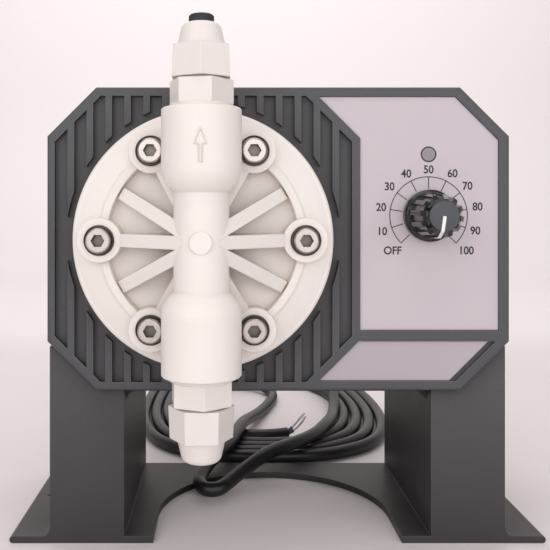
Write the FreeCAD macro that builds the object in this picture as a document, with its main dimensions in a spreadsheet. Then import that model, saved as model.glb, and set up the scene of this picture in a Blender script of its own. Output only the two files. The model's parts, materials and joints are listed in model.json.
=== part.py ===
import FreeCAD, Part
import math
import os
import re

import Sketcher

# Chemical dosing pump: a solenoid driven diaphragm pump on a moulded stand, in millimetres.
# X is to the right, Y to the back and Z up. The origin is on the floor, midway between the
# two mounting holes of the stand.

# Driving dimensions
SIZES = {
    # Stand
    "base_width": 165.0,
    "base_depth": 79.0,
    "base_height": 56.0,
    "base_wall": 2.5,
    "base_front_round": 0.8,
    "foot_thickness": 2.5,
    "foot_reach": 14.5,
    "foot_round": 3.0,
    "bay_half_width": 55.5,
    "bay_top_round": 4.0,
    "bay_top_setback": 6.5,
    "lip_radius": 45.0,
    "lip_straight": 21.5,
    "cheek_height": 15.0,
    "cheek_gap": 0.3,
    "mount_spacing": 179.0,
    "mount_hole_radius": 2.25,
    "base_screw_spacing": 123.1,
    "base_screw_boss": 3.4,
    "base_screw_front": 35.5,
    "base_screw_pitch": 36.0,
    # Housing
    "case_height": 108.3,
    "case_corner": 17.5,
    "case_wall": 3.0,
    "case_overhang": 4.0,
    "case_rear_round": 2.5,
    "panel_depth": 14.0,
    "panel_thickness": 4.5,
    "panel_rim_round": 1.2,
    "gasket_thickness": 1.0,
    "gasket_width": 1.8,
    "housing_screw_x": 72.5,
    "housing_screw_z": 37.5,
    "housing_screw_post": 4.0,
    "housing_screw_column": 5.5,
    "housing_screw_seat": 22.0,
    "fit_gap": 0.1,
    # Ribbed recess round the head
    "head_x": -26.7,
    "recess_half_width": 53.0,
    "recess_half_height": 51.0,
    "recess_corner": 16.4,
    "recess_depth": 2.0,
    "recess_rib_pitch": 6.74,
    "recess_rib_width": 2.4,
    "recess_clear_radius": 49.0,
    # Labels
    "label_depth": 1.0,
    "label_thickness": 0.3,
    "label_wall": 2.9,
    "label_slant_wall": 3.0,
    "label_rim_side": 3.85,
    "label_rim_top": 3.4,
    "label_rim_bottom": 3.5,
    "label_rim_corner": 3.7,
    "label_bar": 3.9,
    "rating_height": 14.15,
    "rating_short": 1.6,
    # Dial
    "dial_x": 53.7,
    "dial_z": 8.3,
    "lamp_rise": 21.9,
    "lamp_radius": 2.75,
    "knob_skirt_radius": 9.25,
    "knob_skirt_height": 3.2,
    "knob_skirt_round": 0.8,
    "knob_radius": 7.4,
    "knob_shoulder_radius": 6.5,
    "knob_shoulder_drop": 3.0,
    "knob_top_radius": 5.3,
    "knob_top_round": 0.5,
    "knob_height": 19.5,
    "knob_grip_width": 1.7,
    "knob_grip_proud": 0.8,
    "knob_grips": 12.0,
    "knob_rest_angle": 188.0,
    "knob_clearance": 0.35,
    "pointer_width": 1.1,
    "pot_radius": 8.2,
    "pot_depth": 8.4,
    "pot_bush_radius": 3.5,
    "pot_nut_flats": 10.0,
    "pot_nut_height": 2.0,
    "pot_bush_proud": 0.5,
    "pot_shaft_radius": 3.0,
    "pot_shaft_drop": 3.0,
    # Circuit board
    "board_width": 34.0,
    "board_height": 86.0,
    "board_thickness": 1.6,
    "board_gap": 1.0,
    "board_post_radius": 3.2,
    "board_post_inset": 5.0,
    "small_screw_radius": 1.3,
    "small_head_radius": 2.6,
    "small_head_height": 1.8,
    "board_screw_length": 7.0,
    "case_screw_radius": 1.75,
    "case_head_radius": 3.5,
    "case_head_height": 2.4,
    "case_screw_bite": 6.0,
    "base_screw_bite": 8.0,
    "screw_clearance": 0.25,
    # Pump head
    "head_radius": 45.5,
    "head_rim": 7.0,
    "head_rim_crown": 8.2,
    "head_field": 7.5,
    "head_ring_top": 11.2,
    "head_ring_inner": 33.0,
    "head_ring_outer": 36.2,
    "head_edge_round": 1.6,
    "boss_radius": 7.8,
    "boss_top": 13.8,
    "boss_sink": 3.0,
    "boss_sink_radius": 5.2,
    "head_rib_width": 4.4,
    "head_rib_end": 10.6,
    "head_rib_reach": 32.4,
    "head_rib_crest": 32.8,
    "head_rib_start": 5.5,
    "column_axis": 25.7,
    "column_radius": 9.0,
    "column_half": 16.0,
    "column_mark_radius": 3.6,
    "barrel_radius": 13.0,
    "barrel_end": 43.0,
    "barrel_shoulder_arc": 10.0,
    "barrel_bore": 10.5,
    "barrel_floor": 26.0,
    "web_width": 13.0,
    "passage_radius": 3.0,
    "port_radius": 2.2,
    "port_height": 14.0,
    "port_step": 1.0,
    "chamber_radius": 22.0,
    "chamber_depth": 3.5,
    # Head screws
    "screw_pcd": 70.0,
    "screw_count": 6.0,
    "screw_radius": 2.5,
    "screw_head_radius": 4.25,
    "screw_head_height": 5.0,
    "screw_length": 25.0,
    "socket_flats": 4.0,
    "socket_depth": 2.6,
    "washer_radius": 5.0,
    "washer_thickness": 1.0,
    # Head adapter behind the panel
    "adapter_radius": 46.0,
    "adapter_spigot": 40.8,
    "adapter_flange": 4.0,
    "adapter_boss_radius": 4.4,
    "adapter_boss_length": 8.0,
    # Diaphragm and drive
    "diaphragm_radius": 30.0,
    "diaphragm_bead": 24.0,
    "diaphragm_rim": 3.0,
    "diaphragm_skin": 1.5,
    "diaphragm_hub": 9.0,
    "diaphragm_hub_proud": 1.0,
    "drive_disc_radius": 16.0,
    "drive_disc_thickness": 3.0,
    "drive_chamber": 19.0,
    "stroke": 1.25,
    "stroke_stop": 0.3,
    "shaft_radius": 4.0,
    "shaft_length": 58.0,
    "bush_wall": 2.0,
    "running_gap": 0.05,
    # Solenoid
    "yoke_radius": 30.0,
    "yoke_thickness": 5.0,
    "can_radius": 25.0,
    "can_wall": 2.0,
    "can_length": 40.0,
    "pole_radius": 13.2,
    "pole_length": 14.0,
    "spring_pocket": 7.2,
    "spring_pocket_depth": 7.5,
    "spring_wire": 1.2,
    "spring_turns": 4.0,
    "armature_radius": 12.8,
    "armature_length": 23.0,
    "bobbin_gap": 0.4,
    "bobbin_wall": 1.2,
    "bobbin_flange": 1.5,
    "coil_thickness": 7.5,
    "tie_radius": 2.0,
    "tie_head_radius": 3.5,
    "tie_head_height": 3.0,
    "tie_circle": 27.5,
    # Valves
    "ball_radius": 4.75,
    "ball_lift": 2.0,
    "ball_gap": 0.15,
    "seat_bore": 3.25,
    "seat_height": 3.0,
    "cartridge_radius": 7.0,
    "cage_wall": 1.6,
    "cage_top": 2.0,
    "valve_thread_radius": 10.35,
    "valve_collar": 1.3,
    "valve_flats": 18.3,
    "valve_hex_end": 52.0,
    "valve_nipple_radius": 7.6,
    "valve_nipple_length": 7.0,
    "valve_cone_length": 3.0,
    "ring_seal_wire": 1.6,
    "top_hex_turn": -71.0,
    "bottom_hex_turn": -83.0,
    "nut_start": 52.6,
    "nut_hex_end": 63.0,
    "nut_flats": 18.5,
    "nut_draft": 2.2,
    "nut_nose_radius": 7.9,
    "nut_nose_tip": 6.6,
    "nut_end": 70.5,
    "nut_hole_radius": 4.2,
    "nut_thread_radius": 7.8,
    "nut_turn_top": -90.0,
    "nut_turn_bottom": -58.0,
    "clamp_height": 2.6,
    "plug_radius": 4.1,
    "plug_proud": 2.7,
    # Mains lead
    "cord_radius": 3.0,
    "cord_x": -45.0,
    "cord_rise": 16.0,
    "relief_flange_radius": 8.0,
    "relief_neck_radius": 6.0,
    "relief_tip_radius": 4.2,
    "relief_length": 22.0,
    "conductor_radius": 0.7,
    "coil_x": 9.0,
    "coil_y": 140.0,
    "coil_half_width": 77.0,
    "coil_half_length": 97.5,
    "coil_band": 29.0,
    "coil_height": 6.3,
    "coil_floor_gap": 0.05,
}

# The free lead from inside its sleeve to the coil. It hangs to the floor behind the stand, lies in a
# long loop that comes forward over the stand's lip, and goes back to lie on the coil.
LEAD_ROUTE = [
    (-45.0, 45.0, 72.0),
    (-45.0, 72.0, 72.0),
    (-44.5, 91.5, 67.0),
    (-43.5, 107.0, 55.0),
    (-42.0, 121.0, 39.0),
    (-40.0, 135.0, 22.0),
    (-38.0, 148.5, 12.0),
    (-36.6, 161.0, 9.8),
    (-36.6, 173.5, 9.6),
    (-30.2, 184.7, 9.6),
    (-19.0, 191.1, 9.3),
    (-6.0, 191.1, 7.0),
    (5.2, 184.7, 4.4),
    (11.6, 173.5, 3.2),
    (11.8, 160.0, 3.1),
    (8.6, 146.0, 3.2),
    (4.4, 131.5, 3.5),
    (-0.2, 117.0, 4.3),
    (-4.4, 102.0, 6.2),
    (-8.2, 87.0, 8.8),
    (-11.0, 72.5, 10.2),
    (-13.6, 58.5, 10.3),
    (-16.6, 45.5, 10.1),
    (-20.2, 34.5, 8.9),
    (-24.0, 26.0, 7.2),
    (-27.2, 18.8, 6.1),
    (-29.4, 12.6, 5.1),
    (-29.2, 7.6, 3.6),
    (-25.9, 4.4, 3.1),
    (-20.8, 4.4, 3.1),
    (-16.9, 8.2, 3.3),
    (-14.0, 14.4, 4.2),
    (-10.6, 22.0, 6.2),
    (-6.0, 30.0, 8.4),
    (0.8, 38.2, 10.1),
    (9.8, 46.4, 10.4),
    (19.6, 55.6, 10.2),
    (28.6, 67.6, 10.0),
    (36.0, 83.0, 9.8),
    (41.2, 99.5, 7.6),
    (44.6, 117.0, 4.6),
    (48.0, 135.5, 5.2),
    (50.4, 153.5, 8.4),
    (49.2, 171.0, 10.0),
    (44.0, 188.0, 10.0),
    (37.0, 203.5, 9.6),
]

# The tail of the lead, from the inside of the coil to its stripped end.
TAIL_ROUTE = [
    (-15.0, 82.0, 3.1),
    (-4.5, 80.4, 3.1),
    (6.0, 80.6, 3.8),
    (15.5, 84.0, 6.2),
]

# The two stripped cores, from the end of the jacket to their bare tips.
CORE_ROUTES = [
    [(14.6, 83.4, 6.9), (17.0, 86.5, 8.6), (19.0, 89.5, 10.4), (22.5, 92.0, 11.4), (25.0, 95.5, 14.0)],
    [(14.9, 83.2, 5.1), (19.5, 86.0, 6.4), (23.6, 89.6, 8.6), (24.6, 93.0, 9.4), (27.4, 96.2, 11.4)],
]

# Places that several pieces share, written from the sizes above
PANEL_FACE_Y = "(-base_depth / 2 - case_overhang)"
CASE_DEPTH = "(base_depth + case_overhang)"
CASE_HALF_WIDTH = "(base_width / 2)"
CASE_HALF_HEIGHT = "(case_height / 2)"
CASE_CENTRE_Z = "(base_height + case_height / 2)"
REAR_START = "(panel_depth + gasket_thickness)"
LIP_CENTRE_Y = "(-base_depth / 2 + lip_straight)"
CORNER_SHARE = "(2 - sqrt(2))"
SLANT = "sqrt(2)"
RECESS_SUM = "(recess_half_width + recess_half_height - recess_corner)"
LABEL_SUM = f"({RECESS_SUM} + label_slant_wall * {SLANT})"
RIM_SUM = f"({CASE_HALF_WIDTH} + {CASE_HALF_HEIGHT} - case_corner - label_rim_corner * {SLANT})"
LABEL_RIGHT = f"({CASE_HALF_WIDTH} - label_rim_side)"
LABEL_LEFT = "(head_x + recess_half_width + label_wall)"
LABEL_TOP = f"({CASE_HALF_HEIGHT} - label_rim_top)"
RATING_BOTTOM = f"(-{CASE_HALF_HEIGHT} + label_rim_bottom)"
RATING_TOP = f"({RATING_BOTTOM} + rating_height)"
LABEL_BOTTOM = f"({RATING_TOP} + label_bar)"
BOARD_X = "(housing_screw_x - housing_screw_column - board_gap - board_width / 2)"
BOARD_FRONT = "(panel_thickness + fit_gap + pot_depth + fit_gap)"
LABEL_FACE = "(label_depth - label_thickness)"
SHAFT_TIP = f"({LABEL_FACE} - knob_height + pot_shaft_drop)"
KNOB_FOOT = f"({LABEL_FACE} - knob_clearance)"
KNOB_TOP = f"({KNOB_FOOT} - knob_height)"
ADAPTER_BACK = "(panel_thickness + adapter_flange)"
YOKE_BACK = f"({ADAPTER_BACK} + yoke_thickness)"
CAN_BACK = f"({YOKE_BACK} + can_length)"
SOLENOID_BACK = f"({CAN_BACK} + yoke_thickness)"
POLE_FACE = f"({YOKE_BACK} + pole_length)"
ARMATURE_FRONT = f"({POLE_FACE} + stroke + stroke_stop)"
DIAPHRAGM_BACK = "(recess_depth + diaphragm_skin / 2)"
DISC_BACK = f"({DIAPHRAGM_BACK} + drive_disc_thickness)"
BUSH_RADIUS = "(shaft_radius + bush_wall)"
BOBBIN_INNER = "(pole_radius + bobbin_gap)"
BOBBIN_OUTER = f"({BOBBIN_INNER} + bobbin_wall)"
SEAT_DROP = "sqrt(ball_radius^2 - seat_bore^2)"
STOP_DROP = "sqrt(ball_radius^2 - passage_radius^2)"
BALL_CENTRE = f"(seat_height + {SEAT_DROP} + ball_gap)"
CAGE_STOP = f"({BALL_CENTRE} + ball_lift + ball_gap + {STOP_DROP})"
CARTRIDGE_HEIGHT = f"({CAGE_STOP} + cage_top)"
COLUMN_Y = f"({PANEL_FACE_Y} - column_axis)"
HEAD_SCREW_SEAT = "(boss_top - boss_sink + washer_thickness)"
NIPPLE_END = "(valve_hex_end + valve_nipple_length)"
CONE_END = f"({NIPPLE_END} + valve_cone_length)"
SEAL_REBATE = "(valve_thread_radius - ring_seal_wire - 2 * fit_gap)"

doc = FreeCAD.newDocument("DosingPump")
sheet = doc.addObject("Spreadsheet::Sheet", "Sizes")
nodes = {}


def fill_sheet():
    for row, (name, size) in enumerate(SIZES.items(), 1):
        sheet.set(f"A{row}", name)
        sheet.set(f"B{row}", str(size))
        sheet.setAlias(f"B{row}", name)
    doc.recompute()


fill_sheet()
SIZE_NAME = re.compile(r"\b(" + "|".join(SIZES) + r")\b")


def bound(expression):
    """The expression as an object outside the sheet writes it."""
    return SIZE_NAME.sub(r"Sizes.\1", str(expression))


def value(expression):
    """What the expression comes to with the sizes as they are."""
    return float(sheet.evalExpression(str(expression)))


def role(body, name):
    return [f for f in body.Origin.OriginFeatures if f.Role == name][0]


def new_body(name):
    body = doc.addObject("PartDesign::Body", name)
    body.Label = name
    nodes[name] = body
    return body


def place(item, x="0", y="0", z="0"):
    """Bind the item's position to the sheet."""
    item.setExpression("Placement.Base.x", bound(x))
    item.setExpression("Placement.Base.y", bound(y))
    item.setExpression("Placement.Base.z", bound(z))
    return item


def place_on_panel(item, x="0", z="0"):
    """The item's own origin goes on the panel's face, measured from the middle of the case."""
    return place(item, x, PANEL_FACE_Y, f"{CASE_CENTRE_Z} + {z}")


def place_on_head(item):
    """The item's own origin goes where the head's axis meets the panel's face."""
    return place_on_panel(item, "head_x")


def place_on_column(item, z="0"):
    """The item's own origin goes on the upright axis of the head's column."""
    return place(item, "head_x", COLUMN_Y, f"{CASE_CENTRE_Z} + {z}")


def sketch_on(body, plane, forward="0"):
    """A sketch on an origin plane, moved along the plane's normal: to the front for XZ, up for XY."""
    sketch = body.newObject("Sketcher::SketchObject", body.Name + "_sketch")
    sketch.AttachmentSupport = [(role(body, plane), "")]
    sketch.MapMode = "FlatFace"
    sketch.setExpression("AttachmentOffset.Base.z", bound(forward))
    return sketch


def pin(sketch, geometry, point, x, y):
    """Tie a point of the sketch to its place from the sketch's origin."""
    for kind, place_expression in (("DistanceX", x), ("DistanceY", y)):
        constraint = Sketcher.Constraint(kind, -1, 1, geometry, point, value(place_expression))
        index = sketch.addConstraint(constraint)
        sketch.setExpression(f"Constraints[{index}]", bound(place_expression))


def arc_through(start, end, radius, side):
    """A short arc from start to end. Its centre is to the left of the way when side is 1."""
    chord = end - start
    rise = math.sqrt(max(radius ** 2 - (chord.Length / 2) ** 2, 0.0))
    across = FreeCAD.Vector(-chord.y, chord.x, 0).normalize() * side
    centre = (start + end) / 2 + across * rise
    middle = centre - across * radius
    return Part.Arc(start, middle, end)


def outline(sketch, points):
    """A closed outline. A point with a radius and a side is reached by an arc, the others by a line."""
    first = sketch.GeometryCount
    places = [FreeCAD.Vector(value(p[0]), value(p[1]), 0) for p in points]
    count = len(points)
    for i in range(count):
        start, end = places[i], places[(i + 1) % count]
        goal = points[(i + 1) % count]
        if len(goal) == 4:
            sketch.addGeometry(arc_through(start, end, value(goal[2]), goal[3]), False)
        else:
            sketch.addGeometry(Part.LineSegment(start, end), False)
    for i in range(count):
        goal = points[(i + 1) % count]
        turned = len(goal) == 4 and goal[3] < 0
        goal_next = points[(i + 2) % count]
        next_turned = len(goal_next) == 4 and goal_next[3] < 0
        end_point = 1 if turned else 2
        start_point = 2 if next_turned else 1
        after = first + (i + 1) % count
        sketch.addConstraint(Sketcher.Constraint("Coincident", first + i, end_point, after, start_point))
    for i in range(count):
        goal = points[(i + 1) % count]
        turned = len(goal) == 4 and goal[3] < 0
        pin(sketch, first + i, 2 if turned else 1, points[i][0], points[i][1])
        if len(goal) == 4:
            index = sketch.addConstraint(Sketcher.Constraint("Radius", first + i, value(goal[2])))
            sketch.setExpression(f"Constraints[{index}]", bound(goal[2]))


def circle(sketch, x, y, radius):
    centre = FreeCAD.Vector(value(x), value(y), 0)
    index = sketch.addGeometry(Part.Circle(centre, FreeCAD.Vector(0, 0, 1), value(radius)), False)
    size = sketch.addConstraint(Sketcher.Constraint("Radius", index, value(radius)))
    sketch.setExpression(f"Constraints[{size}]", bound(radius))
    pin(sketch, index, 3, x, y)


def grow(body, kind, sketch, length, reverse, both, taper):
    feature = body.newObject("PartDesign::" + kind, body.Name + "_" + kind.lower())
    feature.Profile = sketch
    feature.setExpression("Length", bound(length))
    feature.Reversed = reverse
    if both:
        feature.SideType = "Symmetric"
    feature.setExpression("TaperAngle", bound(taper))
    return feature


def pad(body, sketch, length, back=False, both=False, taper="0"):
    """Add material along the sketch's normal, or against it when back is set."""
    return grow(body, "Pad", sketch, length, back, both, taper)


def pocket(body, sketch, length, front=False, both=False):
    """Take material away against the sketch's normal, or along it when front is set."""
    return grow(body, "Pocket", sketch, length, front, both, "0")


def spin(body, kind, sketch, axis):
    feature = body.newObject("PartDesign::" + kind, body.Name + "_" + kind.lower())
    feature.Profile = sketch
    feature.ReferenceAxis = (sketch, [axis])
    feature.Angle = 360
    return feature


def around(body, features, axis_role, count):
    """Repeat the features round one of the body's own axes."""
    pattern = body.newObject("PartDesign::PolarPattern", body.Name + "_pattern")
    pattern.Originals = features
    pattern.Axis = (role(body, axis_role), [""])
    pattern.Angle = 360
    pattern.setExpression("Occurrences", bound(count))
    body.Tip = pattern
    return pattern


def mirrored(body, features, plane):
    pattern = body.newObject("PartDesign::Mirrored", body.Name + "_mirrored")
    pattern.Originals = features
    pattern.MirrorPlane = (role(body, plane), [""])
    body.Tip = pattern
    return pattern


def fillet(body, base, radius, wanted):
    """Round the edges of the base feature for which wanted(edge) holds."""
    doc.recompute()
    names = [f"Edge{i}" for i, edge in enumerate(base.Shape.Edges, 1) if wanted(edge)]
    feature = body.newObject("PartDesign::Fillet", body.Name + "_fillet")
    feature.Base = (base, names)
    feature.setExpression("Radius", bound(radius))
    return feature


def at(edge, **places):
    """Whether both ends of the edge lie at the given places, in the body's own frame."""
    ends = [v.Point for v in edge.Vertexes]
    return all(abs(getattr(p, key) - value(place)) < 0.01 for p in ends for key, place in places.items())


def octagon(half_width, half_height, corner, x="0", z="0"):
    """Eight corners of a rectangle with its corners cut off."""
    w, t, c = f"({half_width})", f"({half_height})", f"({corner})"
    quarter = [(w, f"({t} - {c})"), (f"({w} - {c})", t)]
    points = [(f"{x} + {a}", f"{z} + {b}") for a, b in quarter]
    points += [(f"{x} - {a}", f"{z} + {b}") for a, b in reversed(quarter)]
    points += [(f"{x} - {a}", f"{z} - {b}") for a, b in quarter]
    points += [(f"{x} + {a}", f"{z} - {b}") for a, b in reversed(quarter)]
    return points


def case_octagon(inset="0"):
    """The case's outline, drawn in evenly by the inset."""
    corner = f"case_corner - {CORNER_SHARE} * ({inset})"
    return octagon(f"{CASE_HALF_WIDTH} - {inset}", f"{CASE_HALF_HEIGHT} - {inset}", corner)


def hexagon(flats, turn="0"):
    """Six corners from the width across flats, with the first corner at the turn, in degrees."""
    reach = f"{flats} / sqrt(3)"
    angles = [f"({turn} + {60 * i})" for i in range(6)]
    return [(f"{reach} * cos({a})", f"{reach} * sin({a})") for a in angles]


def turned_y(name, profile):
    """A piece turned about its own Y axis, from pairs of place along the axis and radius."""
    body = new_body(name)
    sketch = sketch_on(body, "YZ_Plane")
    outline(sketch, profile)
    spin(body, "Revolution", sketch, "H_Axis")
    return body


def turned_z(name, profile):
    """A piece turned about its own Z axis, from pairs of radius and height."""
    body = new_body(name)
    sketch = sketch_on(body, "XZ_Plane")
    outline(sketch, profile)
    spin(body, "Revolution", sketch, "V_Axis")
    return body


def ring_profile(inner, outer, start, end):
    """Corners of a plain ring's section, as pairs of place along the axis and radius."""
    return [(start, inner), (end, inner), (end, outer), (start, outer)]


def group(name, source, places):
    """Copies of one piece as a single node, each a solid of its own, at bound places."""
    links = []
    for x, y, z in places:
        link = doc.addObject("App::Link", name + "_copy")
        link.LinkedObject = source
        links.append(place(link, x, y, z))
    compound = doc.addObject("Part::Compound", name)
    compound.Links = links
    compound.Label = name
    nodes[name] = compound
    return compound


def helper_body(name):
    """A body that is copied into a group and isn't a node itself."""
    body = doc.addObject("PartDesign::Body", name)
    body.Label = name
    return body


def base_stand():
    """Moulded stand: two hollow legs, an open bay between them and feet along both sides."""
    body = new_body("base_stand")
    half, front = "(base_width / 2)", "(-base_depth / 2)"
    cheek = f"(case_corner - cheek_gap * {SLANT})"
    step = "(cheek_height)"
    section = [
        (f"-{half}", "0"),
        (half, "0"),
        (half, f"base_height + {step}"),
        (f"{half} - {cheek} + {step}", f"base_height + {step}"),
        (f"{half} - {cheek}", "base_height"),
        (f"-{half} + {cheek}", "base_height"),
        (f"-{half} + {cheek} - {step}", f"base_height + {step}"),
        (f"-{half}", f"base_height + {step}"),
    ]
    sketch = sketch_on(body, "XZ_Plane", "-base_depth / 2")
    outline(sketch, section)
    block = pad(body, sketch, "base_depth")
    fillet(body, block, "base_front_round", is_outer_front)
    bay = sketch_on(body, "XZ_Plane", "-base_depth / 2 - 1")
    outline(bay, bay_outline())
    pocket(body, bay, "base_depth + 2", front=True)
    mouth = sketch_on(body, "XY_Plane", "foot_thickness")
    wide = "bay_half_width"
    outline(mouth, rectangle(f"-{wide}", f"{front} - 1", wide, f"{front} + bay_top_setback"))
    pocket(body, mouth, "base_height", front=True)
    lip = sketch_on(body, "XY_Plane")
    outline(lip, lip_outline())
    pocket(body, lip, "foot_thickness", front=True)
    leg_hollows(body)
    feet(body)
    place(body)


def is_outer_front(edge):
    """The upright front edges of the legs and the slanting and top edges of the cheeks."""
    front = "-base_depth / 2"
    side = at(edge, y=front, x="base_width / 2") or at(edge, y=front, x="-base_width / 2")
    return side or at(edge, y=front, z="base_height + cheek_height")


def rectangle(x0, y0, x1, y1):
    return [(x0, y0), (x1, y0), (x1, y1), (x0, y1)]


def lip_outline():
    """U shape in plan that runs out past the front and ends in a half circle towards the back."""
    front = "(-base_depth / 2 - 1)"
    r = "lip_radius"
    return [
        (f"-{r}", front),
        (r, front),
        (r, LIP_CENTRE_Y),
        ("0", f"{LIP_CENTRE_Y} + {r}", r, 1),
        (f"-{r}", LIP_CENTRE_Y, r, 1),
    ]


def bay_outline():
    """The bay's section from side to side, with rounded corners below the stand's top."""
    w, r = "bay_half_width", "bay_top_round"
    top = "(base_height - base_wall)"
    return [
        (f"-{w}", "foot_thickness"),
        (w, "foot_thickness"),
        (w, f"{top} - {r}"),
        (f"{w} - {r}", top, r, 1),
        (f"-{w} + {r}", top),
        (f"-{w}", f"{top} - {r}", r, 1),
    ]


def leg_hollows(body):
    """Each leg is open below and has an even wall."""
    inner, outer = "bay_half_width + base_wall", "base_width / 2 - base_wall"
    end = "(base_depth / 2 - base_wall)"
    sketch = sketch_on(body, "XY_Plane")
    outline(sketch, rectangle(inner, f"-{end}", outer, end))
    hollow = pocket(body, sketch, "base_height - base_wall", front=True)
    mirrored(body, [hollow], "YZ_Plane")


def feet(body):
    """Side feet with a rounded edge, holes for bolts and a fillet up to the leg."""
    half = "(base_width / 2)"
    end = "(foot_thickness / 2)"
    sketch = sketch_on(body, "XZ_Plane", "-base_depth / 2")
    outline(sketch, [
        (f"{half} - base_wall", "0"),
        (f"{half} + foot_reach - {end}", "0"),
        (f"{half} + foot_reach", end, end, 1),
        (f"{half} + foot_reach - {end}", "foot_thickness", end, 1),
        (f"{half} + foot_round", "foot_thickness"),
        (half, "foot_thickness + foot_round", "foot_round", -1),
        (f"{half} - base_wall", "foot_thickness + foot_round"),
    ])
    foot = pad(body, sketch, "base_depth")
    mirrored(body, [foot], "YZ_Plane")
    holes = sketch_on(body, "XY_Plane", "foot_thickness + 1")
    for side in ("-", ""):
        circle(holes, f"{side}mount_spacing / 2", "0", "mount_hole_radius")
    pocket(body, holes, "foot_thickness + 2")
    screws = sketch_on(body, "XY_Plane", "base_height")
    for x, y in base_screw_places():
        circle(screws, x, y, "case_screw_radius + screw_clearance")
    pocket(body, screws, "base_wall + 1")


def base_screw_places():
    front = "(-base_depth / 2 + base_screw_front)"
    rows = (front, f"{front} + base_screw_pitch")
    return [(f"{side}base_screw_spacing / 2", y) for side in ("-", "") for y in rows]


def front_panel():
    """Front cover: a ribbed recess round the head, two label pockets and posts behind."""
    body = new_body("front_panel")
    sketch = sketch_on(body, "XZ_Plane")
    outline(sketch, case_octagon())
    block = pad(body, sketch, "panel_depth", back=True)
    fillet(body, block, "panel_rim_round", lambda e: at(e, y="0"))
    hollow = sketch_on(body, "XZ_Plane", "-panel_depth")
    outline(hollow, case_octagon("case_wall"))
    pocket(body, hollow, "panel_depth - panel_thickness", front=True)
    recess = sketch_on(body, "XZ_Plane")
    outline(recess, octagon("recess_half_width", "recess_half_height", "recess_corner", "head_x"))
    pocket(body, recess, "recess_depth")
    ribs = sketch_on(body, "XZ_Plane", "-recess_depth")
    count = int(value("recess_half_width / recess_rib_pitch"))
    for i in range(-count, count + 1):
        outline(ribs, recess_rib(i))
    pad(body, ribs, "recess_depth")
    clear = sketch_on(body, "XZ_Plane")
    circle(clear, "head_x", "0", "recess_clear_radius")
    pocket(body, clear, "recess_depth")
    opening = sketch_on(body, "XZ_Plane")
    circle(opening, "head_x", "0", "adapter_spigot + fit_gap")
    pocket(body, opening, "panel_thickness + 1")
    labels = sketch_on(body, "XZ_Plane")
    outline(labels, control_label_outline("0"))
    outline(labels, rating_label_outline("0", "0"))
    pocket(body, labels, "label_depth")
    panel_holes(body)
    panel_posts(body)
    place_on_panel(body)


def recess_rib(index):
    """One upright rib of the recess, let into the wall above and below it."""
    x = f"({index} * recess_rib_pitch)"
    sides = (f"({x} - recess_rib_width / 2)", f"({x} + recess_rib_width / 2)")
    tops = [f"(min(recess_half_height; {RECESS_SUM} - abs({s})) + label_wall / 4)" for s in sides]
    return [
        (f"head_x + {sides[0]}", f"-{tops[0]}"),
        (f"head_x + {sides[1]}", f"-{tops[1]}"),
        (f"head_x + {sides[1]}", tops[1]),
        (f"head_x + {sides[0]}", tops[0]),
    ]


def control_label_outline(inset):
    """Pocket of the control label, with slanting corners beside the recess and the case's corner."""
    left, right = f"({LABEL_LEFT} + {inset})", f"({LABEL_RIGHT} - {inset})"
    top, bottom = f"({LABEL_TOP} - {inset})", f"({LABEL_BOTTOM} + {inset})"
    low = f"({LABEL_SUM} + {inset} * {SLANT})"
    high = f"({RIM_SUM} - {inset} * {SLANT})"
    return [
        (left, bottom),
        (right, bottom),
        (right, f"{high} - {right}"),
        (f"{high} - {top}", top),
        (f"head_x + {low} - {top}", top),
        (left, f"{low} - {left} + head_x"),
    ]


def rating_label_outline(inset, short):
    """Slanting pocket of the rating label below the control label."""
    bottom, top = f"({RATING_BOTTOM} + {inset})", f"({RATING_TOP} - {inset})"
    low = f"({LABEL_SUM} + {inset} * {SLANT})"
    high = f"({RIM_SUM} - ({inset} + {short}) * {SLANT})"
    return [
        (f"head_x + {low} + {bottom}", bottom),
        (f"{high} + {bottom}", bottom),
        (f"{high} + {top}", top),
        (f"head_x + {low} + {top}", top),
    ]


def panel_holes(body):
    """Round holes for the lamp and for the potentiometer's bush."""
    sketch = sketch_on(body, "XZ_Plane")
    circle(sketch, "dial_x", "dial_z + lamp_rise", "lamp_radius + fit_gap")
    circle(sketch, "dial_x", "dial_z", "pot_bush_radius + fit_gap")
    pocket(body, sketch, "panel_thickness + 1")


def board_corners():
    """Centres of the board's four screws, measured from the middle of the case."""
    across = "(board_width / 2 - board_post_inset)"
    up = "(board_height / 2 - board_post_inset)"
    return [(f"{BOARD_X} {a} {across}", f"0 {b} {up}") for a in "+-" for b in "+-"]


def housing_screw_places():
    return [(f"{a}housing_screw_x", f"{b}housing_screw_z") for a in ("", "-") for b in ("", "-")]


def panel_posts(body):
    """Posts for the board and for the case's screws, with blind holes."""
    board = sketch_on(body, "XZ_Plane", "-panel_thickness")
    for x, z in board_corners():
        circle(board, x, z, "board_post_radius")
        circle(board, x, z, "small_screw_radius")
    pad(body, board, f"{BOARD_FRONT} - panel_thickness", back=True)
    case = sketch_on(body, "XZ_Plane", "-panel_thickness")
    for x, z in housing_screw_places():
        circle(case, x, z, "housing_screw_post")
        circle(case, x, z, "case_screw_radius")
    pad(body, case, "panel_depth - panel_thickness", back=True)


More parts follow.
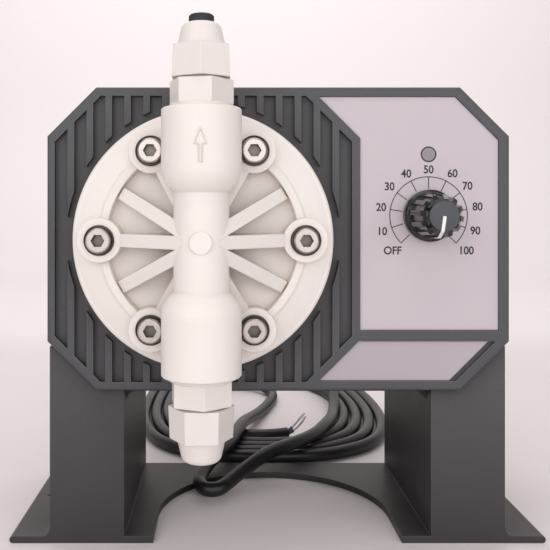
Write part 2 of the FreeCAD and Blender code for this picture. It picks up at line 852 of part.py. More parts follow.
def rear_housing():
    """Deep rear shell with screw columns, floor bosses and the lead's hole."""
    body = new_body("rear_housing")
    sketch = sketch_on(body, "XZ_Plane", f"-{REAR_START}")
    outline(sketch, case_octagon())
    block = pad(body, sketch, f"{CASE_DEPTH} - {REAR_START}", back=True)
    fillet(body, block, "case_rear_round", lambda e: at(e, y=CASE_DEPTH))
    hollow = sketch_on(body, "XZ_Plane", f"-{REAR_START}")
    outline(hollow, case_octagon("case_wall"))
    pocket(body, hollow, f"{CASE_DEPTH} - {REAR_START} - case_wall")
    columns = sketch_on(body, "XZ_Plane", f"-{REAR_START}")
    for x, z in housing_screw_places():
        circle(columns, x, z, "housing_screw_column")
    pad(body, columns, f"{CASE_DEPTH} - {REAR_START} - case_wall / 2", back=True)
    shanks = sketch_on(body, "XZ_Plane", f"-{REAR_START} + 1")
    seats = sketch_on(body, "XZ_Plane", f"-{REAR_START} - housing_screw_seat")
    for x, z in housing_screw_places():
        circle(shanks, x, z, "case_screw_radius + screw_clearance")
        circle(seats, x, z, "housing_screw_post")
    pocket(body, shanks, "housing_screw_seat + 2")
    pocket(body, seats, CASE_DEPTH)
    floor_bosses(body)
    hole = sketch_on(body, "XZ_Plane", f"-{CASE_DEPTH} - 1")
    circle(hole, "cord_x", f"cord_rise - {CASE_HALF_HEIGHT}", "relief_neck_radius + fit_gap")
    pocket(body, hole, "case_wall + 2", front=True)
    place_on_panel(body)


def floor_bosses(body):
    """Bosses on the case's floor, above the stand's screw holes."""
    level = f"-{CASE_HALF_HEIGHT}"
    rise = "(case_wall + base_screw_bite)"
    sketch = sketch_on(body, "XY_Plane", level)
    holes = sketch_on(body, "XY_Plane", level)
    for x, y in base_screw_places():
        local = f"{y} - {PANEL_FACE_Y}"
        circle(sketch, x, local, "base_screw_boss")
        circle(holes, x, local, "case_screw_radius")
    pad(body, sketch, rise)
    pocket(body, holes, "base_screw_bite + fit_gap", front=True)


def housing_gasket():
    """Flat rubber frame between the two halves of the case."""
    body = new_body("housing_gasket")
    sketch = sketch_on(body, "XZ_Plane", "-panel_depth")
    edge = "((case_wall - gasket_width) / 2)"
    outline(sketch, case_octagon(edge))
    outline(sketch, case_octagon(f"({edge} + gasket_width)"))
    pad(body, sketch, "gasket_thickness", back=True)
    place_on_panel(body)


def labels():
    """Two thin label plates that lie on the floors of their pockets."""
    control = new_body("control_label")
    sketch = sketch_on(control, "XZ_Plane", "-label_depth")
    outline(sketch, control_label_outline("fit_gap"))
    circle(sketch, "dial_x", "dial_z + lamp_rise", "lamp_radius + fit_gap")
    circle(sketch, "dial_x", "dial_z", "pot_bush_radius + fit_gap")
    pad(control, sketch, "label_thickness")
    place_on_panel(control)
    rating = new_body("rating_label")
    plate = sketch_on(rating, "XZ_Plane", "-label_depth")
    outline(plate, rating_label_outline("fit_gap", "rating_short"))
    pad(rating, plate, "label_thickness")
    place_on_panel(rating)


def stroke_lamp():
    """Flanged lens, pushed in from behind, flush with the label."""
    flange = "(lamp_radius + 0.8)"
    back = "(panel_thickness + 1.2)"
    lens = turned_y("stroke_lamp", [
        (LABEL_FACE, "0"),
        (LABEL_FACE, "lamp_radius"),
        ("panel_thickness", "lamp_radius"),
        ("panel_thickness", flange),
        (back, flange),
        (back, "0"),
    ])
    place_on_panel(lens, "dial_x", "dial_z + lamp_rise")


def potentiometer():
    """Body with a threaded bush, the nut that clamps it and the shaft that turns."""
    start = "(panel_thickness + fit_gap)"
    nut_face = f"({LABEL_FACE} - pot_nut_height)"
    bore = "(pot_shaft_radius + running_gap)"
    pot = turned_y("potentiometer_body", [
        (f"{nut_face} - pot_bush_proud", bore),
        (f"{nut_face} - pot_bush_proud", "pot_bush_radius"),
        (start, "pot_bush_radius"),
        (start, "pot_radius"),
        (f"{start} + pot_depth", "pot_radius"),
        (f"{start} + pot_depth", bore),
    ])
    place_on_panel(pot, "dial_x", "dial_z")
    nut = new_body("potentiometer_nut")
    sketch = sketch_on(nut, "XZ_Plane", f"-{LABEL_FACE}")
    outline(sketch, hexagon("pot_nut_flats"))
    circle(sketch, "0", "0", "pot_bush_radius + running_gap")
    pad(nut, sketch, "pot_nut_height")
    place_on_panel(nut, "dial_x", "dial_z")
    shaft = turned_y("potentiometer_shaft", [
        (SHAFT_TIP, "0"),
        (SHAFT_TIP, "pot_shaft_radius"),
        (f"{start} + pot_depth", "pot_shaft_radius"),
        (f"{start} + pot_depth", "0"),
    ])
    place_on_panel(shaft, "dial_x", "dial_z")


def place_knob(item):
    """On the dial's axis and turned to the rest angle, clockwise from straight up."""
    item.Placement = FreeCAD.Placement(FreeCAD.Vector(), FreeCAD.Rotation(FreeCAD.Vector(0, 1, 0), 1))
    item.setExpression("Placement.Rotation.Angle", bound("knob_rest_angle"))
    place_on_panel(item, "dial_x", "dial_z")


def control_knob():
    """Skirted knob with a tapering grip of upright ridges and a recess below for the nut."""
    step = f"({KNOB_FOOT} - knob_skirt_height)"
    shoulder = f"({KNOB_TOP} + knob_shoulder_drop)"
    nest = f"({LABEL_FACE} - pot_nut_height - pot_bush_proud - 2 * knob_clearance)"
    nest_radius = "(pot_nut_flats / sqrt(3) + knob_clearance)"
    bore = "(pot_shaft_radius + running_gap)"
    end = f"({SHAFT_TIP} - fit_gap)"
    knob = turned_y("control_knob", [
        (KNOB_FOOT, nest_radius),
        (KNOB_FOOT, "knob_skirt_radius"),
        (f"{step} + knob_skirt_round", "knob_skirt_radius"),
        (step, "knob_skirt_radius - knob_skirt_round"),
        (step, "knob_radius"),
        (shoulder, "knob_shoulder_radius"),
        (f"{KNOB_TOP} + knob_top_round", "knob_top_radius"),
        (KNOB_TOP, "knob_top_radius - knob_top_round / 2"),
        (KNOB_TOP, "0"),
        (end, "0"),
        (end, bore),
        (nest, bore),
        (nest, nest_radius),
    ])
    ridge = sketch_on(knob, "YZ_Plane")
    ridge_end = f"({KNOB_TOP} + 2 * knob_top_round)"
    outline(ridge, [
        (step, "knob_radius - knob_grip_proud"),
        (step, "knob_radius + knob_grip_proud"),
        (shoulder, "knob_shoulder_radius + knob_grip_proud"),
        (ridge_end, "knob_top_radius + knob_top_round"),
        (ridge_end, "knob_top_radius - knob_grip_proud"),
    ])
    grip = pad(knob, ridge, "knob_grip_width", both=True)
    around(knob, [grip], "Y_Axis", "knob_grips")
    place_knob(knob)


def knob_pointer():
    """White line on the knob's top, from its middle to its edge."""
    body = new_body("knob_pointer")
    sketch = sketch_on(body, "XZ_Plane", f"-{KNOB_TOP}")
    half = "pointer_width / 2"
    outline(sketch, rectangle(f"-{half}", "0", half, "knob_top_radius - knob_top_round"))
    pad(body, sketch, "label_thickness")
    place_knob(body)


def circuit_board():
    """Board on the panel's posts, with holes for its screws and the lamp's leads."""
    body = new_body("circuit_board")
    sketch = sketch_on(body, "XZ_Plane", f"-{BOARD_FRONT}")
    half_w, half_h = "(board_width / 2)", "(board_height / 2)"
    outline(sketch, rectangle(f"{BOARD_X} - {half_w}", f"-{half_h}", f"{BOARD_X} + {half_w}", half_h))
    for x, z in board_corners():
        circle(sketch, x, z, "small_screw_radius + fit_gap")
    pad(body, sketch, "board_thickness", back=True)
    place_on_panel(body)


def board_components():
    """Transformer, capacitors, terminal block and heat sink behind the board, and the lamp's diode."""
    back = f"({BOARD_FRONT} + board_thickness)"
    made = []
    blocks = [
        ("transformer", 0, -16, 28, 26, 20),
        ("terminals", 0, -38, 16, 8, 10),
        ("heat_sink", 10, 12, 12, 18, 16),
    ]
    for name, x, z, wide, high, deep in blocks:
        body = helper_body("board_" + name)
        sketch = sketch_on(body, "XZ_Plane", f"-{back}")
        left, low = f"{BOARD_X} + {x - wide / 2}", f"{z - high / 2}"
        outline(sketch, rectangle(left, low, f"{left} + {wide}", f"{low} + {high}"))
        pad(body, sketch, str(deep), back=True)
        made.append(place_on_panel(body))
    for name, x, z, radius, deep in (("capacitor", -10, 20, 6, 18), ("filter", -8, 5, 5, 12)):
        body = helper_body("board_" + name)
        sketch = sketch_on(body, "XZ_Plane", f"-{back}")
        circle(sketch, f"{BOARD_X} + {x}", str(z), str(radius))
        pad(body, sketch, str(deep), back=True)
        made.append(place_on_panel(body))
    diode = helper_body("board_diode")
    sketch = sketch_on(diode, "XZ_Plane", f"-{BOARD_FRONT}")
    circle(sketch, "dial_x", "dial_z + lamp_rise", "lamp_radius - 0.6")
    pad(diode, sketch, f"{BOARD_FRONT} - panel_thickness - 1.5")
    made.append(place_on_panel(diode))
    compound = doc.addObject("Part::Compound", "board_components")
    compound.Links = made
    compound.Label = "board_components"
    nodes["board_components"] = compound


def rear_screw(name, radius, head_radius, head_height, length):
    """A plain screw put in from behind. Its head's underside is at its own origin."""
    body = helper_body(name)
    sketch = sketch_on(body, "YZ_Plane")
    outline(sketch, [
        (f"-({length})", "0"),
        (f"-({length})", radius),
        ("0", radius),
        ("0", head_radius),
        (head_height, head_radius),
        (head_height, "0"),
    ])
    spin(body, "Revolution", sketch, "H_Axis")
    return body


def case_fasteners():
    """Screws of the board, of the case and of the stand."""
    board = rear_screw(
        "board_screw", "small_screw_radius - running_gap", "small_head_radius", "small_head_height",
        "board_screw_length"
    )
    group("board_screws", board, [
        (x, f"{PANEL_FACE_Y} + {BOARD_FRONT} + board_thickness", f"{CASE_CENTRE_Z} + {z}")
        for x, z in board_corners()
    ])
    case = rear_screw(
        "case_screw", "case_screw_radius - running_gap", "case_head_radius", "case_head_height",
        "housing_screw_seat + gasket_thickness + case_screw_bite"
    )
    group("housing_screws", case, [
        (x, f"{PANEL_FACE_Y} + {REAR_START} + housing_screw_seat", f"{CASE_CENTRE_Z} + {z}")
        for x, z in housing_screw_places()
    ])
    base = helper_body("base_screw")
    sketch = sketch_on(base, "XZ_Plane")
    outline(sketch, [
        ("0", "-case_head_height"),
        ("case_head_radius", "-case_head_height"),
        ("case_head_radius", "0"),
        ("case_screw_radius - running_gap", "0"),
        ("case_screw_radius - running_gap", "base_wall + base_screw_bite"),
        ("0", "base_wall + base_screw_bite"),
    ])
    spin(base, "Revolution", sketch, "V_Axis")
    group("base_screws", base, [(x, y, "base_height - base_wall") for x, y in base_screw_places()])


def head_screw_places(y):
    """Places round the head's bolt circle at one distance from the panel's face."""
    found = []
    for i in range(int(value("screw_count"))):
        angle = f"(360 / screw_count * {i})"
        x = f"head_x + screw_pcd / 2 * cos({angle})"
        z = f"{CASE_CENTRE_Z} + screw_pcd / 2 * sin({angle})"
        found.append((x, f"{PANEL_FACE_Y} + {y}", z))
    return found


def head_fasteners():
    """Socket head screws with plain washers."""
    screw = helper_body("head_screw")
    sketch = sketch_on(screw, "YZ_Plane")
    outline(sketch, [
        ("screw_length", "0"),
        ("screw_length", "screw_radius"),
        ("0", "screw_radius"),
        ("0", "screw_head_radius"),
        ("-screw_head_height + 0.5", "screw_head_radius"),
        ("-screw_head_height", "screw_head_radius - 0.5"),
        ("-screw_head_height", "0"),
    ])
    spin(screw, "Revolution", sketch, "H_Axis")
    socket = sketch_on(screw, "XZ_Plane", "screw_head_height")
    outline(socket, hexagon("socket_flats"))
    pocket(screw, socket, "socket_depth")
    group("head_screws", screw, head_screw_places(f"-{HEAD_SCREW_SEAT}"))
    washer = helper_body("head_washer")
    ring = sketch_on(washer, "YZ_Plane")
    outline(ring, ring_profile("screw_radius + fit_gap", "washer_radius", "0", "washer_thickness"))
    spin(washer, "Revolution", ring, "H_Axis")
    group("head_washers", washer, head_screw_places(f"-{HEAD_SCREW_SEAT}"))


def pump_head():
    """Moulded head: crowned disc, ring and rising ribs, six bosses, a column and two barrels."""
    body = new_body("pump_head")
    sketch = sketch_on(body, "YZ_Plane")
    outline(sketch, [
        ("recess_depth", "0"),
        ("recess_depth", "head_radius"),
        ("-head_rim + head_edge_round", "head_radius"),
        ("-head_rim", "head_radius - head_edge_round", "head_edge_round", 1),
        ("-head_rim_crown", "head_radius - 4"),
        ("-head_ring_top + 0.8", "head_ring_outer"),
        ("-head_ring_top", "head_ring_outer - 0.8"),
        ("-head_ring_top", "head_ring_inner"),
        ("-head_field", "head_ring_inner - 0.5"),
        ("-head_field", "0"),
    ])
    spin(body, "Revolution", sketch, "H_Axis")
    head_bosses(body)
    head_ribs(body)
    head_column(body)
    head_bores(body)
    place_on_head(body)


def head_bosses(body):
    """Bosses on the bolt circle."""
    sketch = sketch_on(body, "XZ_Plane", "head_rim / 2")
    circle(sketch, "screw_pcd / 2", "0", "boss_radius")
    boss = pad(body, sketch, "boss_top - head_rim / 2", taper="-1.5")
    around(body, [boss], "Y_Axis", "screw_count")


def head_ribs(body):
    """Ribs that rise from the ring to the column, two for each boss."""
    sketch = sketch_on(body, "XY_Plane")
    outline(sketch, [
        ("0", "-head_field + 1"),
        ("head_rib_reach", "-head_field + 1"),
        ("head_rib_reach", "-head_rib_end + 0.4"),
        ("head_rib_reach - 0.5", "-head_rib_end"),
        ("head_rib_start", "-head_rib_crest"),
        ("0", "-head_rib_crest"),
    ])
    rib = pad(body, sketch, "head_rib_width", both=True)
    around(body, [rib], "Y_Axis", "2 * screw_count")


def head_column(body):
    """Upright column with a flat gate mark, and a barrel at each end with a domed shoulder."""
    tube = sketch_on(body, "XY_Plane")
    circle(tube, "0", "-column_axis", "column_radius")
    pad(body, tube, "2 * column_half + 4", both=True)
    web = sketch_on(body, "XY_Plane")
    outline(web, rectangle("-web_width / 2", "-column_axis", "web_width / 2", "-head_field + 1"))
    pad(body, web, "2 * (barrel_end - 3)", both=True)
    mark = sketch_on(body, "XZ_Plane", "column_axis")
    circle(mark, "0", "0", "column_mark_radius")
    pad(body, mark, "column_radius + 0.15")
    barrel = sketch_on(body, "XZ_Plane", "column_axis")
    spread = "(barrel_radius - column_radius)"
    rise = f"sqrt(barrel_shoulder_arc^2 - (barrel_shoulder_arc - {spread})^2)"
    outline(barrel, [
        ("0", "column_half"),
        ("column_radius", "column_half"),
        ("barrel_radius", f"column_half + {rise}", "barrel_shoulder_arc", 1),
        ("barrel_radius", "barrel_end - 0.4"),
        ("barrel_radius - 0.4", "barrel_end"),
        ("0", "barrel_end"),
    ])
    upper = spin(body, "Revolution", barrel, "V_Axis")
    mirrored(body, [upper], "XY_Plane")


def head_bores(body):
    """Valve bores, passages to the chamber, the diaphragm's seat and the screw holes."""
    bore = sketch_on(body, "XZ_Plane", "column_axis")
    outline(bore, [
        ("0", "port_height"),
        ("passage_radius", "port_height"),
        ("passage_radius", "barrel_floor"),
        ("barrel_bore", "barrel_floor"),
        ("barrel_bore", "barrel_end + 1"),
        ("0", "barrel_end + 1"),
    ])
    upper = spin(body, "Groove", bore, "V_Axis")
    mirrored(body, [upper], "XY_Plane")
    ports = sketch_on(body, "XZ_Plane", "-recess_depth")
    for side in ("", "-"):
        circle(ports, "0", f"{side}(port_height + port_radius + port_step)", "port_radius")
    pocket(body, ports, "recess_depth + column_axis", front=True)
    chamber = sketch_on(body, "YZ_Plane")
    outline(chamber, [
        ("recess_depth + 1", "0"),
        ("recess_depth + 1", "diaphragm_radius + fit_gap"),
        ("recess_depth - diaphragm_rim / 2", "diaphragm_radius + fit_gap"),
        ("recess_depth - diaphragm_rim / 2", "diaphragm_bead - fit_gap"),
        ("recess_depth - chamber_depth", "chamber_radius"),
        ("recess_depth - chamber_depth", "0"),
    ])
    spin(body, "Groove", chamber, "H_Axis")
    sink = sketch_on(body, "XZ_Plane", "boss_top")
    circle(sink, "screw_pcd / 2", "0", "boss_sink_radius")
    sunk = pocket(body, sink, "boss_sink")
    hole = sketch_on(body, "XZ_Plane", "boss_top")
    circle(hole, "screw_pcd / 2", "0", "screw_radius + 0.25")
    drilled = pocket(body, hole, "boss_top + recess_depth + 1")
    around(body, [sunk, drilled], "Y_Axis", "screw_count")


def head_adapter():
    """Flanged carrier behind the panel that the head's screws pull against."""
    adapter = turned_y("head_adapter", [
        ("recess_depth", "diaphragm_radius + fit_gap"),
        ("recess_depth", "adapter_spigot"),
        ("panel_thickness", "adapter_spigot"),
        ("panel_thickness", "adapter_radius"),
        (ADAPTER_BACK, "adapter_radius"),
        (ADAPTER_BACK, "shaft_radius + 4 * fit_gap"),
        (f"{DISC_BACK} + stroke", "shaft_radius + 4 * fit_gap"),
        (f"{DISC_BACK} + stroke", "drive_chamber"),
        ("recess_depth + diaphragm_rim / 2", "drive_chamber"),
        ("recess_depth + diaphragm_rim / 2", "diaphragm_radius + fit_gap"),
    ])
    sketch = sketch_on(adapter, "XZ_Plane", f"-{ADAPTER_BACK}")
    circle(sketch, "screw_pcd / 2", "0", "adapter_boss_radius")
    boss = pad(adapter, sketch, "adapter_boss_length", back=True)
    around(adapter, [boss], "Y_Axis", "screw_count")
    holes = sketch_on(adapter, "XZ_Plane", "-recess_depth")
    circle(holes, "screw_pcd / 2", "0", "screw_radius + running_gap")
    drilled = pocket(adapter, holes, f"{ADAPTER_BACK} + adapter_boss_length - recess_depth - 1")
    around(adapter, [drilled], "Y_Axis", "screw_count")
    ties = sketch_on(adapter, "XZ_Plane", f"-{ADAPTER_BACK}")
    for x, z in tie_offsets():
        circle(ties, x, z, "tie_radius + running_gap")
    pocket(adapter, ties, "adapter_flange - 0.5", front=True)
    place_on_head(adapter)


def tie_offsets():
    """The solenoid's four long screws, as offsets from the head's axis."""
    angles = (30, 150, 210, 330)
    return [(f"tie_circle * cos({a})", f"tie_circle * sin({a})") for a in angles]


def diaphragm():
    """Moulded diaphragm: a clamped rim, a thin skin and a thicker hub."""
    middle = "recess_depth"
    skin = "(diaphragm_skin / 2)"
    rim = "(diaphragm_rim / 2 - fit_gap / 2)"
    piece = turned_y("diaphragm", [
        (f"{middle} + {skin}", "0"),
        (f"{middle} + {skin}", "diaphragm_bead"),
        (f"{middle} + {rim}", "diaphragm_bead"),
        (f"{middle} + {rim}", "diaphragm_radius"),
        (f"{middle} - {rim}", "diaphragm_radius"),
        (f"{middle} - {rim}", "diaphragm_bead"),
        (f"{middle} - {skin}", "diaphragm_bead"),
        (f"{middle} - {skin}", "diaphragm_hub + 1"),
        (f"{middle} - {skin} - diaphragm_hub_proud", "diaphragm_hub"),
        (f"{middle} - {skin} - diaphragm_hub_proud", "0"),
    ])
    place_on_head(piece)


def drive_train():
    """What the solenoid moves: backing disc, shaft and armature."""
    disc = turned_y("diaphragm_disc", [
        (DIAPHRAGM_BACK, "0"),
        (DIAPHRAGM_BACK, "drive_disc_radius - 1"),
        (f"{DIAPHRAGM_BACK} + 1", "drive_disc_radius"),
        (DISC_BACK, "drive_disc_radius"),
        (DISC_BACK, "0"),
    ])
    place_on_head(disc)
    shaft_end = f"({DISC_BACK} + shaft_length)"
    place_on_head(turned_y("drive_shaft", ring_profile("0", "shaft_radius", DISC_BACK, shaft_end)))
    armature = turned_y("armature", [
        (ARMATURE_FRONT, "shaft_radius + running_gap"),
        (ARMATURE_FRONT, "armature_radius - 1"),
        (f"{ARMATURE_FRONT} + 1", "armature_radius"),
        (f"{ARMATURE_FRONT} + armature_length", "armature_radius"),
        (f"{ARMATURE_FRONT} + armature_length", "shaft_radius + running_gap"),
    ])
    place_on_head(armature)


def solenoid():
    """Yokes, can, pole, bushes, bobbin and winding round the armature, held by four long screws."""
    bore = f"({BUSH_RADIUS} + running_gap)"
    front = turned_y("solenoid_front_yoke", ring_profile(
        "pole_radius / 2 + 3 + running_gap", "yoke_radius", ADAPTER_BACK, YOKE_BACK
    ))
    rear = turned_y("solenoid_rear_yoke", ring_profile(bore, "yoke_radius", CAN_BACK, SOLENOID_BACK))
    for plate, start in ((front, YOKE_BACK), (rear, SOLENOID_BACK)):
        holes = sketch_on(plate, "XZ_Plane", f"-{start}")
        for x, z in tie_offsets():
            circle(holes, x, z, "tie_radius + fit_gap")
        pocket(plate, holes, "yoke_thickness", front=True)
        place_on_head(plate)
    place_on_head(turned_y("solenoid_can", ring_profile(
        "can_radius - can_wall", "can_radius", YOKE_BACK, CAN_BACK
    )))
    pocket_floor = f"({POLE_FACE} - spring_pocket_depth)"
    place_on_head(turned_y("pole_piece", [
        (ADAPTER_BACK, bore),
        (ADAPTER_BACK, "pole_radius / 2 + 3"),
        (YOKE_BACK, "pole_radius / 2 + 3"),
        (YOKE_BACK, "pole_radius"),
        (POLE_FACE, "pole_radius"),
        (POLE_FACE, "spring_pocket"),
        (pocket_floor, "spring_pocket"),
        (pocket_floor, bore),
    ]))
    inner = "(shaft_radius + running_gap)"
    front_bush = ring_profile(inner, BUSH_RADIUS, ADAPTER_BACK, f"{pocket_floor} - fit_gap")
    rear_bush = ring_profile(inner, BUSH_RADIUS, f"{CAN_BACK} - 1", f"{SOLENOID_BACK} + 1")
    place_on_head(turned_y("front_bush", front_bush))
    place_on_head(turned_y("rear_bush", rear_bush))
    coil_bobbin()
    place_on_head(turned_y("solenoid_winding", ring_profile(
        f"{BOBBIN_OUTER} + running_gap",
        f"{BOBBIN_OUTER} + coil_thickness",
        f"{YOKE_BACK} + bobbin_flange + 2 * fit_gap",
        f"{CAN_BACK} - bobbin_flange - 2 * fit_gap",
    )))
    tie_length = f"({SOLENOID_BACK} - {ADAPTER_BACK} + adapter_flange - 1)"
    tie = rear_screw("tie_screw", "tie_radius", "tie_head_radius", "tie_head_height", tie_length)
    group("solenoid_screws", tie, [
        (f"head_x + {x}", f"{PANEL_FACE_Y} + {SOLENOID_BACK}", f"{CASE_CENTRE_Z} + {z}")
        for x, z in tie_offsets()
    ])


def coil_bobbin():
    start, end = f"({YOKE_BACK} + fit_gap)", f"({CAN_BACK} - fit_gap)"
    rim = "(can_radius - can_wall - fit_gap)"
    place_on_head(turned_y("coil_bobbin", [
        (start, BOBBIN_INNER),
        (start, rim),
        (f"{start} + bobbin_flange", rim),
        (f"{start} + bobbin_flange", BOBBIN_OUTER),
        (f"{end} - bobbin_flange", BOBBIN_OUTER),
        (f"{end} - bobbin_flange", rim),
        (end, rim),
        (end, BOBBIN_INNER),
    ]))


def return_spring():
    """Coil spring between the pole's pocket and the armature."""
    body = new_body("return_spring")
    start = f"({POLE_FACE} - spring_pocket_depth + spring_wire / 2 + fit_gap)"
    end = f"({ARMATURE_FRONT} - spring_wire / 2 - fit_gap)"
    sketch = sketch_on(body, "YZ_Plane")
    circle(sketch, start, "(shaft_radius + spring_pocket) / 2 + fit_gap", "spring_wire / 2")
    helix = body.newObject("PartDesign::AdditiveHelix", "return_spring_helix")
    helix.Profile = sketch
    helix.ReferenceAxis = (sketch, ["H_Axis"])
    helix.Mode = "height-turns-angle"
    helix.setExpression("Height", bound(f"{end} - {start}"))
    helix.setExpression("Turns", bound("spring_turns"))
    place_on_head(body)


def valve_cartridge(prefix, bottom):
    """Seat, ball and cage, stacked upwards from the bottom. The ball lifts between seat and cage."""
    seat = turned_z(prefix + "_seat", [
        ("seat_bore", "0"),
        ("cartridge_radius - running_gap", "0"),
        ("cartridge_radius - running_gap", "seat_height"),
        ("seat_bore", "seat_height"),
    ])
    place_on_column(seat, bottom)
    ball = doc.addObject("Part::Sphere", prefix + "_ball")
    ball.Label = prefix + "_ball"
    ball.setExpression("Radius", bound("ball_radius"))
    nodes[prefix + "_ball"] = ball
    place_on_column(ball, f"{bottom} + {BALL_CENTRE}")
    cage = turned_z(prefix + "_cage", [
        ("cartridge_radius - cage_wall", "seat_height"),
        ("cartridge_radius - running_gap", "seat_height"),
        ("cartridge_radius - running_gap", CARTRIDGE_HEIGHT),
        ("passage_radius", CARTRIDGE_HEIGHT),
        ("passage_radius", CAGE_STOP),
        ("cartridge_radius - cage_wall", CAGE_STOP),
    ])
    place_on_column(cage, bottom)


def valve_body(name, sign, turn):
    """Threaded into the barrel over the cartridge, with a hexagon outside and a nipple for the tube."""
    depth = f"({CARTRIDGE_HEIGHT} + fit_gap)"
    floor = "(barrel_floor + fit_gap)"
    far = f"(barrel_floor + {depth})"
    profile = [
        ("cartridge_radius", floor),
        (SEAL_REBATE, floor),
        (SEAL_REBATE, f"{floor} + ring_seal_wire + fit_gap"),
        ("valve_thread_radius", f"{floor} + ring_seal_wire + fit_gap"),
        ("valve_thread_radius", "barrel_end + valve_collar"),
        ("valve_nipple_radius", "barrel_end + valve_collar"),
        ("valve_nipple_radius", NIPPLE_END),
        ("passage_radius + 0.8", CONE_END),
        ("passage_radius", CONE_END),
        ("passage_radius", far),
        ("cartridge_radius", far),
    ]
    body = turned_z(name, [(r, f"{sign}({z})") for r, z in profile])
    sketch = sketch_on(body, "XY_Plane", f"{sign}(barrel_end + valve_collar)")
    outline(sketch, hexagon("valve_flats", turn))
    circle(sketch, "0", "0", "valve_nipple_radius - 1")
    pad(body, sketch, "valve_hex_end - barrel_end - valve_collar", back=bool(sign))
    place_on_column(body)


def tubing_nut(name, sign, turn):
    """Hexagon nut with a slight draft and a rounded nose, bored for the tube."""
    def way(z):
        return f"{sign}({z})"
    body = new_body(name)
    sketch = sketch_on(body, "XY_Plane", way("nut_start"))
    outline(sketch, hexagon("nut_flats", turn))
    pad(body, sketch, "nut_hex_end - nut_start", back=bool(sign), taper="-nut_draft")
    nose = sketch_on(body, "XZ_Plane")
    side = -1 if sign else 1
    outline(nose, [
        ("0", way("nut_hex_end - 1")),
        ("nut_nose_radius", way("nut_hex_end - 1")),
        ("nut_nose_radius", way("nut_hex_end")),
        ("nut_nose_tip", way("nut_end - 2")),
        ("nut_nose_tip - 2", way("nut_end"), "2.4", side),
        ("0", way("nut_end")),
    ])
    spin(body, "Revolution", nose, "V_Axis")
    bore = sketch_on(body, "XZ_Plane")
    outline(bore, [
        ("0", way("nut_start - 1")),
        ("nut_thread_radius", way("nut_start - 1")),
        ("nut_thread_radius", way(f"{NIPPLE_END} + 1")),
        ("nut_hole_radius", way(f"{CONE_END} + clamp_height + 0.6")),
        ("nut_hole_radius", way("nut_end + 1")),
        ("0", way("nut_end + 1")),
    ])
    spin(body, "Groove", bore, "V_Axis")
    place_on_column(body)


def valve_seals(prefix, sign):
    """O-ring in the bottom of the bore and the ring that clamps the tube in the nut."""
    def way(z):
        return f"{sign}({z})"
    ring = turned_z(prefix + "_clamp_ring", [
        ("passage_radius + 0.2", way(f"{CONE_END} + fit_gap")),
        ("nut_hole_radius + 1.2", way(f"{CONE_END} + fit_gap")),
        ("nut_hole_radius - 0.1", way(f"{CONE_END} + clamp_height - fit_gap")),
        ("passage_radius + 0.2", way(f"{CONE_END} + clamp_height - fit_gap")),
    ])
    place_on_column(ring)
    seal = doc.addObject("Part::Torus", prefix + "_o_ring")
    seal.Label = prefix + "_o_ring"
    seal.setExpression("Radius2", bound("ring_seal_wire / 2"))
    seal.setExpression("Radius1", bound(f"{SEAL_REBATE} + ring_seal_wire / 2 + running_gap"))
    nodes[prefix + "_o_ring"] = seal
    place_on_column(seal, way("barrel_floor + ring_seal_wire / 2 + fit_gap"))


def discharge_plug():
    """Rough rubber plug that closes the discharge nut until a tube is fitted."""
    plug = turned_z("discharge_plug", [
        ("0", f"{CONE_END} + clamp_height"),
        ("plug_radius - 0.4", f"{CONE_END} + clamp_height"),
        ("plug_radius", f"{CONE_END} + clamp_height + 0.8"),
        ("plug_radius", "nut_end + plug_proud - 0.5"),
        ("plug_radius - 0.5", "nut_end + plug_proud"),
        ("0", "nut_end + plug_proud"),
    ])
    place_on_column(plug)


def valves():
    valve_cartridge("discharge", "barrel_floor")
    valve_cartridge("suction", f"-(barrel_floor + {CARTRIDGE_HEIGHT})")
    valve_body("discharge_valve_body", "", "top_hex_turn")
    valve_body("suction_valve_body", "-", "bottom_hex_turn")
    tubing_nut("discharge_nut", "", "nut_turn_top")
    tubing_nut("suction_nut", "-", "nut_turn_bottom")
    valve_seals("discharge", "")
    valve_seals("suction", "-")
    discharge_plug()


def strain_relief():
    """Moulded sleeve in the rear wall, tapering along the lead."""
    wall = "case_wall"
    back = CASE_DEPTH
    piece = turned_y("strain_relief", [
        (f"{back} - {wall} - 3", "cord_radius + running_gap"),
        (f"{back} - {wall} - 3", "relief_flange_radius - 1"),
        (f"{back} - {wall}", "relief_flange_radius - 1"),
        (f"{back} - {wall}", "relief_neck_radius"),
        (back, "relief_neck_radius"),
        (back, "relief_flange_radius"),
        (f"{back} + 3", "relief_flange_radius"),
        (f"{back} + 3", "relief_neck_radius"),
        (f"{back} + relief_length", "relief_tip_radius"),
        (f"{back} + relief_length", "cord_radius + running_gap"),
    ])
    place_on_panel(piece, "cord_x", f"cord_rise - {CASE_HALF_HEIGHT}")


def rounded_path(points):
    """Straight runs joined by tangent arcs, each as large as its two runs allow, and the arcs' radii."""
    spots = [FreeCAD.Vector(*p) for p in points]
    edges, radii, start = [], [], spots[0]
    for before, corner, after in zip(spots, spots[1:], spots[2:]):
        back, on = (before - corner), (after - corner)
        reach = 0.45 * min(back.Length, on.Length)
        back.normalize()
        on.normalize()
        turn = math.pi - back.getAngle(on)
        radius = reach / math.tan(turn / 2)
        first, last = corner + back * reach, corner + on * reach
        inward = (back + on).normalize()
        middle = corner + inward * (radius / math.cos(turn / 2) - radius)
        edges.append(Part.LineSegment(start, first).toShape())
        edges.append(Part.Arc(first, middle, last).toShape())
        radii.append(radius)
        start = last
    edges.append(Part.LineSegment(start, spots[-1]).toShape())
    return Part.Wire(edges), radii


